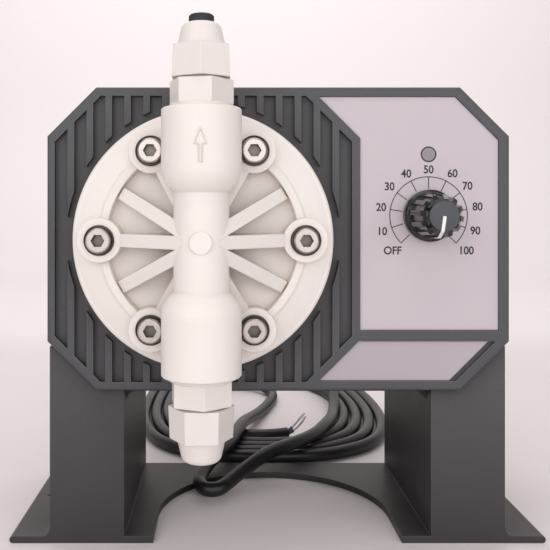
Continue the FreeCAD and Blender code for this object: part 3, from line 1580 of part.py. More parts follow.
def tube(path, radius):
    """A round bar along the path."""
    start = path.Edges[0]
    direction = start.tangentAt(start.FirstParameter)
    section = Part.Wire(Part.makeCircle(radius, start.valueAt(start.FirstParameter), direction))
    solid = path.makePipeShell([section], True, False, 2)
    expected = math.pi * radius ** 2 * path.Length
    if abs(solid.Volume / expected - 1) > 0.01:
        raise ValueError(f"tube volume {solid.Volume:.0f} isn't {expected:.0f}")
    return solid


def shape_node(name, shape):
    feature = doc.addObject("Part::Feature", name)
    feature.Shape = shape
    feature.Label = name
    feature.Placement = FreeCAD.Placement()
    nodes[name] = feature


def mains_lead():
    """The lead's free stretch, its flat coil behind the stand, its tail and its two bare cores."""
    radius = value("cord_radius")
    path, radii = rounded_path(LEAD_ROUTE)
    print("lead", round(path.Length), "mm, radii", [round(r) for r in radii])
    shape_node("power_cord", tube(path, radius))
    tail, tail_radii = rounded_path(TAIL_ROUTE)
    print("tail", round(tail.Length), "mm, radii", [round(r) for r in tail_radii])
    shape_node("power_cord_tail", tube(tail, radius))
    cores = [tube(rounded_path(route)[0], value("conductor_radius")) for route in CORE_ROUTES]
    shape_node("cord_conductors", Part.makeCompound(cores))
    coil = new_body("power_cord_coil")
    sketch = sketch_on(coil, "XY_Plane", "coil_floor_gap")
    ellipse(sketch, "coil_half_width", "coil_half_length")
    ellipse(sketch, "coil_half_width - coil_band", "coil_half_length - coil_band")
    pad(coil, sketch, "coil_height")
    place(coil, "coil_x", "coil_y")


def ellipse(sketch, half_width, half_length):
    """An upright ellipse about the sketch's origin, tied at its two nearest tips."""
    wide, long = value(half_width), value(half_length)
    curve = Part.Ellipse(FreeCAD.Vector(0, long, 0), FreeCAD.Vector(wide, 0, 0), FreeCAD.Vector(0, 0, 0))
    index = sketch.addGeometry(curve, False)
    sketch.exposeInternalGeometry(index)
    sketch.addConstraint(Sketcher.Constraint("Coincident", index, 3, -1, 1))
    pin(sketch, index + 1, 1, "0", half_length)
    tip = sketch.addConstraint(Sketcher.Constraint("DistanceX", -1, 1, index + 2, 2, wide))
    sketch.setExpression(f"Constraints[{tip}]", bound(half_width))


def failed_objects():
    return [o.Name for o in doc.Objects if "Invalid" in o.State or "Error" in o.State]


def export():
    """Check every object and every node's shape, and write one file for each node."""
    doc.recompute()
    broken = failed_objects()
    if broken:
        raise RuntimeError(f"failed: {broken}")
    for name, item in nodes.items():
        if item.Shape.isNull() or not item.Shape.isValid():
            raise RuntimeError(f"bad shape: {name}")
    os.makedirs("parts", exist_ok=True)
    for name, item in nodes.items():
        item.Shape.exportStep(f"parts/{name}.step")


base_stand()
front_panel()
rear_housing()
housing_gasket()
labels()
stroke_lamp()
potentiometer()
control_knob()
knob_pointer()
circuit_board()
board_components()
case_fasteners()
pump_head()
head_fasteners()
head_adapter()
diaphragm()
drive_train()
solenoid()
return_spring()
valves()
strain_relief()
mains_lead()
export()
print(len(nodes), "nodes")
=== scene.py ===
import json
import math

import bpy
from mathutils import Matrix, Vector


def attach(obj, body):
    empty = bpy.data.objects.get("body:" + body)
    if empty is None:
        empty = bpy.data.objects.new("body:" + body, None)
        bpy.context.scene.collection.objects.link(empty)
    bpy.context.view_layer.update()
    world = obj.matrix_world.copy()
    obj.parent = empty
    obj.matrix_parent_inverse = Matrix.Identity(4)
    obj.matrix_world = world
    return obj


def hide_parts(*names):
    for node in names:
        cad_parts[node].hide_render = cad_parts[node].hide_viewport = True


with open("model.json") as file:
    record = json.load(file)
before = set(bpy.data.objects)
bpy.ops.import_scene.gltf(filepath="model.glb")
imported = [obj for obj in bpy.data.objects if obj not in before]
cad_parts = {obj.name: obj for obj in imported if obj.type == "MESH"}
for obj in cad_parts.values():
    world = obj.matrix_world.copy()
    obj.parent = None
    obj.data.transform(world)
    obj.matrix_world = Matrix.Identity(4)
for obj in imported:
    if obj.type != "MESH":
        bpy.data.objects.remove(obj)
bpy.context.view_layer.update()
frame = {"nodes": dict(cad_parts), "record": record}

# Dosing pump on its stand, seen from the front, in metres. Places follow the solid model's own frame:
# X to the right, Y to the back, Z up, and the origin on the floor midway between the mounting holes.
NODES = frame["nodes"]
MM = 0.001

# Places on the pump
LABEL_FACE_Y = -42.8 * MM
HEAD_X = -26.7 * MM
HEAD_Z = 110.15 * MM
COLUMN_Y = -69.2 * MM
BARREL_RADIUS = 13.0 * MM
DIAL_X = 53.7 * MM
DIAL_Z = 118.45 * MM
LAMP_Z = 140.35 * MM
LAMP_RADIUS = 2.75 * MM
KNOB_TOP_Y = -62.65 * MM
KNOB_CAP_RADIUS = 4.9 * MM
POINTER_ANGLE = math.radians(188.0)
INK_THICKNESS = 0.03 * MM

# Mains lead. Its routes are control points in millimetres.
LEAD_DIAMETER = 6.0 * MM

# From the sleeve at the case's back to the floor, forward as a loop through the bay, and back to the coil
LEAD_ROUTE = [
    (-45.0, 45.0, 72.0),
    (-45.0, 72.0, 72.0),
    (-44.5, 91.5, 67.0),
    (-43.5, 107.0, 55.0),
    (-42.0, 121.0, 39.0),
    (-40.0, 135.0, 22.0),
    (-38.0, 148.5, 12.0),
    (-36.6, 161.0, 9.8),
    (-36.6, 173.5, 9.6),
    (-30.2, 184.7, 9.6),
    (-19.0, 191.1, 9.3),
    (-6.0, 191.1, 7.0),
    (5.2, 184.7, 4.4),
    (11.6, 173.5, 3.2),
    (11.8, 160.0, 3.1),
    (8.6, 146.0, 3.2),
    (4.4, 131.5, 3.5),
    (-0.2, 117.0, 4.3),
    (-4.4, 102.0, 6.2),
    (-8.2, 87.0, 8.8),
    (-11.0, 72.5, 10.2),
    (-13.6, 58.5, 10.3),
    (-16.6, 45.5, 10.1),
    (-20.2, 36.5, 9.4),
    (-24.0, 29.4, 8.0),
    (-27.2, 21.8, 6.6),
    (-29.2, 14.6, 5.2),
    (-29.8, 8.6, 4.0),
    (-27.0, 3.8, 3.3),
    (-21.4, 4.2, 3.3),
    (-17.6, 9.4, 4.2),
    (-13.6, 15.2, 5.4),
    (-8.6, 21.0, 7.0),
    (-3.6, 26.6, 8.8),
    (1.6, 32.0, 10.1),
    (9.6, 40.0, 10.4),
    (18.8, 49.6, 10.2),
    (27.0, 62.0, 10.0),
    (33.6, 78.4, 9.8),
    (38.6, 96.0, 7.6),
    (42.4, 114.5, 5.0),
    (46.0, 133.5, 5.4),
    (48.2, 152.0, 8.4),
    (47.2, 170.0, 10.0),
    (42.6, 187.5, 10.0),
    (36.0, 203.5, 9.6),
]
COIL_ENTRY = [
    (30.5, 217.0, 9.8),
    (19.5, 228.0, 9.2),
]
TAIL_ROUTE = [
    (-15.0, 82.0, 3.1),
    (-4.5, 80.4, 3.1),
    (6.0, 80.8, 3.1),
    (14.0, 83.5, 3.3),
]

# The coil: centre, half sizes of the outer turn, how far the inner turn lies inside it, angles in degrees,
# heights of the first point and of the rest, and the outline's power (2 is an ellipse) outside and inside
COIL_CENTRE = (4.0, 140.0)
COIL_OUTER = (69.0, 94.5)
COIL_INSET = 27.0
COIL_START = 102.0
COIL_SWEEP = 1560.0
COIL_STEP = 24.0
COIL_FIRST_HEIGHT = 5.5
COIL_FLOOR = 3.15
COIL_POWER_OUTSIDE = 3.2
COIL_POWER_INSIDE = 2.2

# Two cores stand out of the stripped end
CORE_RADIUS = 0.9 * MM
CORE_BUNDLE_RADIUS = 0.42 * MM
INSULATED_SHARE = 0.34
BARE_FROM_SHARE = 0.3
STRAND_COUNT = 5
STRAND_RADIUS = 0.13 * MM
STRAND_TWIST = 0.55
CORE_ROUTES = {
    "blue": [(13.4, 83.3, 3.9), (15.5, 84.6, 4.8), (17.5, 86.5, 6.2), (20.5, 89.5, 8.6), (23.8, 92.5, 11.2)],
    "brown": [(13.4, 83.3, 2.9), (15.8, 84.4, 3.4), (18.6, 86.4, 4.6), (21.8, 89.0, 6.8), (24.2, 91.5, 9.6)],
}


# Node groups that several finishes share. Grain, edges, specks and depth are masks or heights.

def new_group(name, inputs, outputs):
    """A shader node group with named sockets, and its input and output nodes."""
    group = bpy.data.node_groups.new(name, "ShaderNodeTree")
    for label, kind, start in inputs:
        socket = group.interface.new_socket(label, in_out="INPUT", socket_type=kind)
        socket.default_value = start
    for label, kind in outputs:
        group.interface.new_socket(label, in_out="OUTPUT", socket_type=kind)
    return group, group.nodes.new("NodeGroupInput"), group.nodes.new("NodeGroupOutput")


def math_node(tree, operation, first, second=None, clamp=False):
    """A math node whose inputs are sockets or numbers. Returns its output."""
    node = tree.nodes.new("ShaderNodeMath")
    node.operation = operation
    node.use_clamp = clamp
    for slot, given in enumerate((first, second)):
        if given is None:
            continue
        if isinstance(given, (int, float)):
            node.inputs[slot].default_value = given
        else:
            tree.links.new(given, node.inputs[slot])
    return node.outputs[0]


def noise(tree, scale, detail, roughness=0.6):
    """Noise on the piece's own coordinates. The scale is a number or a socket."""
    place = tree.nodes.new("ShaderNodeTexCoord")
    node = tree.nodes.new("ShaderNodeTexNoise")
    node.inputs["Detail"].default_value = detail
    node.inputs["Roughness"].default_value = roughness
    tree.links.new(place.outputs["Object"], node.inputs["Vector"])
    if isinstance(scale, (int, float)):
        node.inputs["Scale"].default_value = scale
    else:
        tree.links.new(scale, node.inputs["Scale"])
    return node.outputs["Fac"]


def moulded_grain():
    """Fine eroded grain for bump, and slow cloudiness for tone."""
    group, given, out = new_group(
        "moulded_grain",
        [("Grain Scale", "NodeSocketFloat", 2500.0), ("Cloud Scale", "NodeSocketFloat", 40.0)],
        [("Height", "NodeSocketFloat"), ("Cloud", "NodeSocketFloat")],
    )
    fine = noise(group, given.outputs["Grain Scale"], 3.0, 0.55)
    coarse_scale = math_node(group, "MULTIPLY", given.outputs["Grain Scale"], 0.35)
    coarse = noise(group, coarse_scale, 2.0, 0.5)
    both = math_node(group, "MULTIPLY", fine, coarse)
    group.links.new(both, out.inputs["Height"])
    cloud = noise(group, given.outputs["Cloud Scale"], 3.0, 0.55)
    group.links.new(cloud, out.inputs["Cloud"])
    return group


def soft_edges():
    """Rounded shading over sharp edges, and a mask of where those edges are."""
    group, given, out = new_group(
        "soft_edges",
        [("Radius", "NodeSocketFloat", 0.0004), ("Gain", "NodeSocketFloat", 3.0)],
        [("Normal", "NodeSocketVector"), ("Edge", "NodeSocketFloat")],
    )
    bevel = group.nodes.new("ShaderNodeBevel")
    bevel.samples = 6
    group.links.new(given.outputs["Radius"], bevel.inputs["Radius"])
    surface = group.nodes.new("ShaderNodeNewGeometry")
    compare = group.nodes.new("ShaderNodeVectorMath")
    compare.operation = "DOT_PRODUCT"
    group.links.new(bevel.outputs["Normal"], compare.inputs[0])
    group.links.new(surface.outputs["Normal"], compare.inputs[1])
    turned = math_node(group, "SUBTRACT", 1.0, compare.outputs["Value"])
    edge = math_node(group, "MULTIPLY", turned, given.outputs["Gain"], clamp=True)
    group.links.new(bevel.outputs["Normal"], out.inputs["Normal"])
    group.links.new(edge, out.inputs["Edge"])
    return group


def sparse_specks():
    """A mask of small scattered specks, as dust or flecks leave."""
    group, given, out = new_group(
        "sparse_specks",
        [("Scale", "NodeSocketFloat", 300.0), ("Size", "NodeSocketFloat", 0.12)],
        [("Mask", "NodeSocketFloat")],
    )
    place = group.nodes.new("ShaderNodeTexCoord")
    cells = group.nodes.new("ShaderNodeTexVoronoi")
    group.links.new(place.outputs["Object"], cells.inputs["Vector"])
    group.links.new(given.outputs["Scale"], cells.inputs["Scale"])
    near = math_node(group, "LESS_THAN", cells.outputs["Distance"], given.outputs["Size"])
    patch = noise(group, 60.0, 2.0)
    chosen = math_node(group, "GREATER_THAN", patch, 0.56)
    mask = math_node(group, "MULTIPLY", near, chosen)
    group.links.new(mask, out.inputs["Mask"])
    return group


def deep_corners():
    """How open a place is: 0 deep inside a recess and 1 on an open face."""
    group, given, out = new_group(
        "deep_corners", [("Reach", "NodeSocketFloat", 0.05)], [("Open", "NodeSocketFloat")],
    )
    closed_in = group.nodes.new("ShaderNodeAmbientOcclusion")
    closed_in.samples = 8
    group.links.new(given.outputs["Reach"], closed_in.inputs["Distance"])
    opened = math_node(group, "POWER", closed_in.outputs["AO"], 1.6)
    group.links.new(opened, out.inputs["Open"])
    return group


GRAIN = moulded_grain()
EDGES = soft_edges()
SPECKS = sparse_specks()
DEPTHS = deep_corners()


# Finishes. In each plastic the third colour is a painted highlight on the edges, and the colour given for
# recesses is painted shade.

def new_finish(name):
    """An empty material with its Principled shader."""
    material = bpy.data.materials.new(name)
    material.use_nodes = True
    return material, material.node_tree, material.node_tree.nodes["Principled BSDF"]


def placed_group(tree, group, **settings):
    """A node group placed in a finish, with its settings."""
    node = tree.nodes.new("ShaderNodeGroup")
    node.node_tree = group
    for label, number in settings.items():
        node.inputs[label.replace("_", " ")].default_value = number
    return node


def mixed(tree, mask, first, second):
    """Colour between two colours or sockets by a mask."""
    node = tree.nodes.new("ShaderNodeMix")
    node.data_type = "RGBA"
    tree.links.new(mask, node.inputs["Factor"])
    for label, given in (("A", first), ("B", second)):
        socket = [s for s in node.inputs if s.name == label and s.type == "RGBA"][0]
        if isinstance(given, tuple):
            socket.default_value = (*given, 1.0)
        else:
            tree.links.new(given, socket)
    return [s for s in node.outputs if s.type == "RGBA"][0]


def ranged(tree, mask, low, high):
    """A mask turned into a number between two ends."""
    node = tree.nodes.new("ShaderNodeMapRange")
    tree.links.new(mask, node.inputs["Value"])
    node.inputs["To Min"].default_value = low
    node.inputs["To Max"].default_value = high
    return node.outputs["Result"]


def bumped(tree, height, normal, strength, distance):
    """A normal disturbed by a height."""
    node = tree.nodes.new("ShaderNodeBump")
    node.inputs["Strength"].default_value = strength
    node.inputs["Distance"].default_value = distance
    tree.links.new(height, node.inputs["Height"])
    if normal is not None:
        tree.links.new(normal, node.inputs["Normal"])
    return node.outputs["Normal"]


def plastic(name, tone, shade, painted_edge_highlight, rough, grain=2500.0, depth=0.02, edge_radius=0.0004, dust=None,
            painted_shade=None, reach=0.05):
    """Moulded plastic with grain, cloudy tone, a painted highlight on its edges, a little dust and painted
    shade in its recesses.
    """
    material, tree, shader = new_finish(name)
    texture = placed_group(tree, GRAIN, Grain_Scale=grain, Cloud_Scale=45.0)
    edges = placed_group(tree, EDGES, Radius=edge_radius, Gain=2.2)
    colour = mixed(tree, texture.outputs["Cloud"], shade, tone)
    # Painted highlight: the edges are lightened towards the edge colour
    colour = mixed(tree, edges.outputs["Edge"], colour, painted_edge_highlight)
    if dust is not None:
        specks = placed_group(tree, SPECKS, Scale=420.0, Size=0.1)
        colour = mixed(tree, specks.outputs["Mask"], colour, dust)
    # Painted shade: recesses are darkened by ambient occlusion towards the recess colour
    if painted_shade is not None:
        depths = placed_group(tree, DEPTHS, Reach=reach)
        colour = mixed(tree, depths.outputs["Open"], painted_shade, colour)
    tree.links.new(colour, shader.inputs["Base Color"])
    roughness = ranged(tree, texture.outputs["Cloud"], rough[0], rough[1])
    tree.links.new(roughness, shader.inputs["Roughness"])
    normal = bumped(tree, texture.outputs["Height"], edges.outputs["Normal"], 0.6, depth * MM)
    tree.links.new(normal, shader.inputs["Normal"])
    return material, shader


def metal(name, tone, shade, rough, grain=900.0, depth=0.01, edge_radius=0.0002, painted_shade=None, reach=0.004):
    """Satin metal with fine scratches and stains, and painted shade in its recesses."""
    material, tree, shader = new_finish(name)
    texture = placed_group(tree, GRAIN, Grain_Scale=grain, Cloud_Scale=260.0)
    edges = placed_group(tree, EDGES, Radius=edge_radius, Gain=2.0)
    colour = mixed(tree, texture.outputs["Cloud"], shade, tone)
    # Painted shade: recesses are darkened by ambient occlusion towards the recess colour
    if painted_shade is not None:
        depths = placed_group(tree, DEPTHS, Reach=reach)
        colour = mixed(tree, depths.outputs["Open"], painted_shade, colour)
    tree.links.new(colour, shader.inputs["Base Color"])
    tree.links.new(ranged(tree, texture.outputs["Cloud"], rough[0], rough[1]), shader.inputs["Roughness"])
    normal = bumped(tree, texture.outputs["Height"], edges.outputs["Normal"], 0.4, depth * MM)
    tree.links.new(normal, shader.inputs["Normal"])
    shader.inputs["Metallic"].default_value = 1.0
    return material, shader


def case_finish():
    """Dark slate plastic of the case, with painted shade in the recess between the ribs."""
    return plastic(
        # The third colour is a painted edge highlight, and the recess colour below is painted shade
        "slate_case_plastic", (0.064, 0.067, 0.073), (0.055, 0.057, 0.063), (0.24, 0.245, 0.255),
        (0.40, 0.52),
        grain=2600.0, depth=0.03, edge_radius=0.0006, dust=(0.12, 0.115, 0.11),
        painted_shade=(0.012, 0.010, 0.011), reach=0.012,
    )[0]


def stand_finish():
    """Dark grey plastic of the stand, with painted shade that makes it nearly black inside the bay."""
    return plastic(
        # The third colour is a painted edge highlight, and the recess colour below is painted shade
        "grey_stand_plastic", (0.076, 0.071, 0.075), (0.066, 0.061, 0.065), (0.20, 0.195, 0.20), (0.42, 0.55),
        grain=2200.0, depth=0.045, edge_radius=0.0006, dust=(0.12, 0.11, 0.105),
        painted_shade=(0.004, 0.003, 0.003), reach=0.07,
    )[0]


def let_light_in(shader):
    """A little light passes under the surface of pale plastic."""
    shader.inputs["Subsurface Weight"].default_value = 0.15
    shader.inputs["Subsurface Radius"].default_value = (1.0, 0.7, 0.5)
    shader.inputs["Subsurface Scale"].default_value = 0.0015


def head_finish():
    """Ivory plastic of the pump head."""
    material, shader = plastic(
        # The third colour is a painted edge highlight, and the recess colour below is painted shade
        "ivory_head_plastic", (0.82, 0.78, 0.745), (0.79, 0.75, 0.715), (0.86, 0.825, 0.79), (0.40, 0.52),
        grain=1500.0, depth=0.012, edge_radius=0.0006, painted_shade=(0.72, 0.65, 0.60), reach=0.003,
    )
    let_light_in(shader)
    return material


def nut_finish():
    """Ivory plastic of the nuts and valve bodies."""
    material, shader = plastic(
        "ivory_nut_plastic", (0.78, 0.74, 0.71), (0.74, 0.70, 0.67), (0.82, 0.785, 0.755), (0.3, 0.42),
        grain=1500.0, depth=0.012, edge_radius=0.0005,
    )
    let_light_in(shader)
    return material


def label_finish(name, shade, tone):
    """Satin film of a label."""
    material, tree, shader = new_finish(name)
    texture = placed_group(tree, GRAIN, Grain_Scale=4200.0, Cloud_Scale=25.0)
    colour = mixed(tree, texture.outputs["Cloud"], shade, tone)
    tree.links.new(colour, shader.inputs["Base Color"])
    tree.links.new(ranged(tree, texture.outputs["Cloud"], 0.38, 0.5), shader.inputs["Roughness"])
    tree.links.new(bumped(tree, texture.outputs["Height"], None, 0.35, 0.012 * MM), shader.inputs["Normal"])
    return material


def ink_finish():
    """Black printing on the labels."""
    material, tree, shader = new_finish("black_printing_ink")
    texture = placed_group(tree, GRAIN, Grain_Scale=3000.0, Cloud_Scale=300.0)
    colour = mixed(tree, texture.outputs["Cloud"], (0.018, 0.017, 0.02), (0.032, 0.03, 0.034))
    tree.links.new(colour, shader.inputs["Base Color"])
    tree.links.new(ranged(tree, texture.outputs["Cloud"], 0.4, 0.55), shader.inputs["Roughness"])
    return material


def rubber_finish(name, tone, shade, grain, depth, rough=(0.6, 0.8)):
    """Dull rubber or cable plastic whose edges carry a painted highlight."""
    return plastic(name, tone, shade, tuple(2.5 * t for t in tone), rough, grain=grain, depth=depth,
                   edge_radius=0.0003)[0]


def lens_finish():
    """Grey lens of the unlit lamp."""
    material, shader = plastic(
        "grey_lamp_lens", (0.24, 0.215, 0.235), (0.19, 0.17, 0.19), (0.3, 0.28, 0.3), (0.22, 0.34),
        grain=700.0, depth=0.01, edge_radius=0.0002,
    )
    shader.inputs["Coat Weight"].default_value = 0.4
    return material


def knob_finish():
    """Glossy black plastic of the knob."""
    material, shader = plastic(
        "glossy_black_knob", (0.008, 0.008, 0.009), (0.005, 0.005, 0.006), (0.035, 0.035, 0.04), (0.10, 0.2),
        grain=1200.0, depth=0.006, edge_radius=0.0003,
    )
    shader.inputs["Coat Weight"].default_value = 0.3
    return material


# The third colour of each plastic below is a painted highlight on its edges
FINISHES = {
    "case_plastic": case_finish(),
    "stand_plastic": stand_finish(),
    "head_plastic": head_finish(),
    "stainless": metal(
        "satin_stainless", (0.64, 0.59, 0.56), (0.42, 0.385, 0.36), (0.24, 0.42),
        # Painted shade in the screw sockets
        painted_shade=(0.05, 0.042, 0.035), reach=0.004,
    )[0],
    "zinc_steel": metal("zinc_plated_steel", (0.55, 0.56, 0.58), (0.46, 0.47, 0.49), (0.3, 0.45))[0],
    "die_cast": metal(
        "die_cast_carrier", (0.55, 0.56, 0.57), (0.48, 0.49, 0.50), (0.45, 0.6), depth=0.03,
    )[0],
    "bronze": metal("turned_bronze", (0.62, 0.45, 0.24), (0.52, 0.37, 0.20), (0.25, 0.4))[0],
    "copper": metal("enamelled_copper", (0.62, 0.26, 0.13), (0.50, 0.20, 0.10), (0.25, 0.4))[0],
    "label_film": label_finish("lilac_label_film", (0.50, 0.453, 0.49), (0.545, 0.495, 0.532)),
    "lamp_lens": lens_finish(),
    "knob_plastic": knob_finish(),
    "pointer_white": plastic(
        "white_pointer_inlay", (0.82, 0.82, 0.80), (0.76, 0.76, 0.74), (0.85, 0.85, 0.84), (0.4, 0.5),
        edge_radius=0.0001,
    )[0],
    "black_rubber": rubber_finish(
        "rough_black_rubber", (0.030, 0.033, 0.040), (0.016, 0.018, 0.024), 900.0, 0.25,
    ),
    "ceramic_ball": plastic(
        "polished_ceramic", (0.85, 0.84, 0.80), (0.82, 0.81, 0.77), (0.88, 0.87, 0.84), (0.08, 0.14),
        depth=0.002,
    )[0],
    "board_laminate": plastic(
        "green_board", (0.02, 0.12, 0.05), (0.015, 0.09, 0.04), (0.25, 0.28, 0.14), (0.3, 0.45), depth=0.01,
    )[0],
    "component_black": plastic(
        "component_plastic", (0.02, 0.02, 0.02), (0.014, 0.014, 0.014), (0.07, 0.07, 0.07), (0.4, 0.6),
    )[0],
    "cord_jacket": rubber_finish(
        "satin_cord_jacket", (0.010, 0.010, 0.011), (0.006, 0.006, 0.007), 700.0, 0.02, (0.36, 0.5),
    ),
}
NUT_FINISH = nut_finish()
INK = ink_finish()
RATING_FILM = label_finish("grey_rating_film", (0.40, 0.358, 0.39), (0.435, 0.395, 0.428))
CAP_FINISH = plastic(
    "matt_cap_plastic", (0.07, 0.077, 0.09), (0.055, 0.061, 0.072), (0.14, 0.15, 0.165), (0.5, 0.65),
    edge_radius=0.0002,
)[0]
BLUE_CORE = rubber_finish(
    "blue_core_insulation", (0.08, 0.14, 0.28), (0.06, 0.11, 0.24), 800.0, 0.01, (0.4, 0.5),
)
TINNED_STRANDS = metal("tinned_strands", (0.62, 0.60, 0.57), (0.50, 0.48, 0.45), (0.25, 0.4))[0]
BROWN_CORE = rubber_finish(
    "brown_core_insulation", (0.16, 0.08, 0.05), (0.12, 0.06, 0.04), 800.0, 0.01, (0.4, 0.5),
)


def dress(piece, finish):
    """One finish all over the piece."""
    piece.data.materials.clear()
    piece.data.materials.append(finish)


def dress_solids():
    """Each solid takes the finish of its material slot."""
    for part in frame["record"]["subparts"]:
        dress(NODES[part["node"]], FINISHES[part["material_slot"]])
    for name in ("discharge_nut", "suction_nut", "discharge_valve_body", "suction_valve_body"):
        dress(NODES[name], NUT_FINISH)
    dress(NODES["rating_label"], RATING_FILM)


# Modelling helpers

def deselect_all():
    """Nothing selected, in object mode."""
    if bpy.context.mode != "OBJECT":
        bpy.ops.object.mode_set(mode="OBJECT")
    bpy.ops.object.select_all(action="DESELECT")


def pick(piece):
    """The piece alone selected and active."""
    deselect_all()
    piece.select_set(True)
    bpy.context.view_layer.objects.active = piece


def apply_place(piece):
    """The piece's place goes into its mesh."""
    pick(piece)
    bpy.ops.object.transform_apply(location=True, rotation=True, scale=True)
    return piece


def named(name):
    """The piece that an operator has just made, under its name."""
    piece = bpy.context.view_layer.objects.active
    piece.name = name
    piece.data.name = name
    return piece


def as_mesh(piece):
    """The piece turned from a curve or text into a mesh."""
    pick(piece)
    bpy.ops.object.convert(target="MESH")
    return bpy.context.view_layer.objects.active


def add_modifier(piece, kind, **settings):
    """A modifier with its settings, applied at once."""
    pick(piece)
    modifier = piece.modifiers.new(kind.lower(), kind)
    for label, setting in settings.items():
        setattr(modifier, label, setting)
    bpy.ops.object.modifier_apply(modifier=modifier.name)


def join(pieces, name):
    """Several pieces joined into one, under its name."""
    deselect_all()
    for piece in pieces:
        piece.select_set(True)
    bpy.context.view_layer.objects.active = pieces[0]
    bpy.ops.object.join()
    return named(name)


def face_front(piece):
    """Flat artwork looks towards the front."""
    pick(piece)
    mesh = piece.data
    if sum(p.normal.y * p.area for p in mesh.polygons) > 0:
        bpy.ops.object.mode_set(mode="EDIT")
        bpy.ops.mesh.select_all(action="SELECT")
        bpy.ops.mesh.flip_normals()
        bpy.ops.object.mode_set(mode="OBJECT")


def give_ink(piece, body="pump"):
    """Thin ink film on the label's face."""
    face_front(piece)
    add_modifier(piece, "SOLIDIFY", thickness=INK_THICKNESS, offset=1.0)
    dress(piece, INK)
    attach(piece, body)


# Dial

DIAL_RADIUS = 13.85 * MM
DIAL_LINE = 0.34 * MM
TICK_INNER = 9.6 * MM
DIAL_FIRST = -135.0
DIAL_SHARE = 27.0
INK_Y = LABEL_FACE_Y
FIGURE_HEIGHT = 2.85 * MM


def on_dial(degrees, radius):
    """Place on the dial's face, clockwise from its top."""
    turn = math.radians(degrees)
    return (DIAL_X + radius * math.sin(turn), INK_Y, DIAL_Z + radius * math.cos(turn))


def dial_arc():
    """The dial's open circle: the short edge of a plane, spun about the knob's axis."""
    start = math.radians(DIAL_FIRST)
    bpy.ops.mesh.primitive_plane_add(size=DIAL_LINE, location=on_dial(DIAL_FIRST, DIAL_RADIUS))
    arc = named("dial_circle")
    arc.rotation_euler = (math.radians(90), start, 0)
    apply_place(arc)
    bpy.ops.object.mode_set(mode="EDIT")
    bpy.ops.mesh.select_all(action="DESELECT")
    bpy.ops.object.mode_set(mode="OBJECT")
    along = Vector((math.cos(start), 0, -math.sin(start)))
    centre = Vector(on_dial(DIAL_FIRST, DIAL_RADIUS))
    for vertex in arc.data.vertices:
        vertex.select = (vertex.co - centre).dot(along) < 0
    bpy.ops.object.mode_set(mode="EDIT")
    bpy.ops.mesh.select_mode(type="VERT")
    bpy.ops.mesh.delete(type="VERT")
    bpy.ops.mesh.select_all(action="SELECT")
    bpy.ops.mesh.spin(
        steps=108, angle=math.radians(-270.0), center=(DIAL_X, INK_Y, DIAL_Z), axis=(0, 1, 0),
        use_auto_merge=False,
    )
    bpy.ops.mesh.select_all(action="SELECT")
    bpy.ops.mesh.normals_make_consistent(inside=False)
    bpy.ops.object.mode_set(mode="OBJECT")
    return arc


def dial_tick(index):
    """One line from the circle inwards."""
    degrees = DIAL_FIRST + DIAL_SHARE * index
    middle = (DIAL_RADIUS + TICK_INNER) / 2
    bpy.ops.mesh.primitive_plane_add(size=1.0, location=on_dial(degrees, middle))
    tick = named(f"dial_tick_{index}")
    tick.rotation_euler = (math.radians(90), math.radians(degrees), 0)
    tick.scale = (DIAL_LINE, DIAL_RADIUS - TICK_INNER, 1.0)
    return apply_place(tick)


def printed(text, name, x, z, height, width=0.92):
    """Printed figures, centred at a place on the label."""
    bpy.ops.object.text_add(location=(x, INK_Y, z), rotation=(math.radians(90), 0, 0))
    figures = named(name)
    figures.data.body = text
    figures.data.align_x = "CENTER"
    figures.data.align_y = "CENTER"
    figures.data.size = height / 0.72
    figures.data.offset = 0.08 * MM
    figures.scale = (width, 1.0, 1.0)
    figures = as_mesh(figures)
    apply_place(figures)
    return figures


# The figures, and how far each lies across and up from the knob's axis, in millimetres
DIAL_FIGURES = [
    ("OFF", -12.85, -12.6), ("10", -16.6, -5.7), ("20", -16.95, 2.9), ("30", -13.95, 10.3),
    ("40", -7.96, 14.86), ("50", 0.0, 16.36), ("60", 8.56, 14.97), ("70", 13.9, 10.5),
    ("80", 17.5, 3.1), ("90", 16.7, -5.5), ("100", 13.45, -12.6),
]


def dial():
    """Circle, ticks and figures round the knob."""
    artwork = join([dial_arc()] + [dial_tick(i) for i in range(11)], "dial_lines")
    give_ink(artwork)
    figures = []
    for text, across, up in DIAL_FIGURES:
        x, z = DIAL_X + across * MM, DIAL_Z + up * MM
        figures.append(printed(text, f"figure_{text}", x, z, FIGURE_HEIGHT))
    give_ink(join(figures, "dial_figures"))


# Lamp and knob

LAMP_LINE = 0.42 * MM
KNOB_CAP_DEPTH = 0.3 * MM
KNOB_CAP_SINK = 0.05 * MM
KNOB_CAP_BEVEL = 0.08 * MM
POINTER_HALF_WIDTH = 0.55 * MM
POINTER_DEPTH = 0.3 * MM

# Radius and depth of places along the pointer's line, in millimetres, from the knob's top to its side
POINTER_STATIONS = [
    (4.4, -62.97), (5.15, -62.9), (5.6, -62.25), (6.0, -61.75),
    (6.75, -60.7), (7.4, -59.75), (7.5, -58.5), (7.68, -55.8),
]


def ring(name, place, inner, outer, thickness, finish, body):
    """Flat ring that faces the front: an inset circle with its middle taken out."""
    bpy.ops.mesh.primitive_circle_add(
        vertices=64, radius=outer, fill_type="NGON", location=place, rotation=(math.radians(90), 0, 0)
    )
    piece = apply_place(named(name))
    bpy.ops.object.mode_set(mode="EDIT")
    bpy.ops.mesh.select_all(action="SELECT")
    bpy.ops.mesh.inset(thickness=outer - inner, use_even_offset=True)
    bpy.ops.mesh.delete(type="FACE")
    bpy.ops.object.mode_set(mode="OBJECT")
    face_front(piece)
    add_modifier(piece, "SOLIDIFY", thickness=thickness, offset=1.0)
    dress(piece, finish)
    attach(piece, body)
    return piece


def lamp_surround():
    """Dark printed line round the lamp."""
    piece = ring(
        "lamp_surround", (DIAL_X, LABEL_FACE_Y, LAMP_Z), LAMP_RADIUS - LAMP_LINE, LAMP_RADIUS, 0.05 * MM,
        INK, "pump",
    )


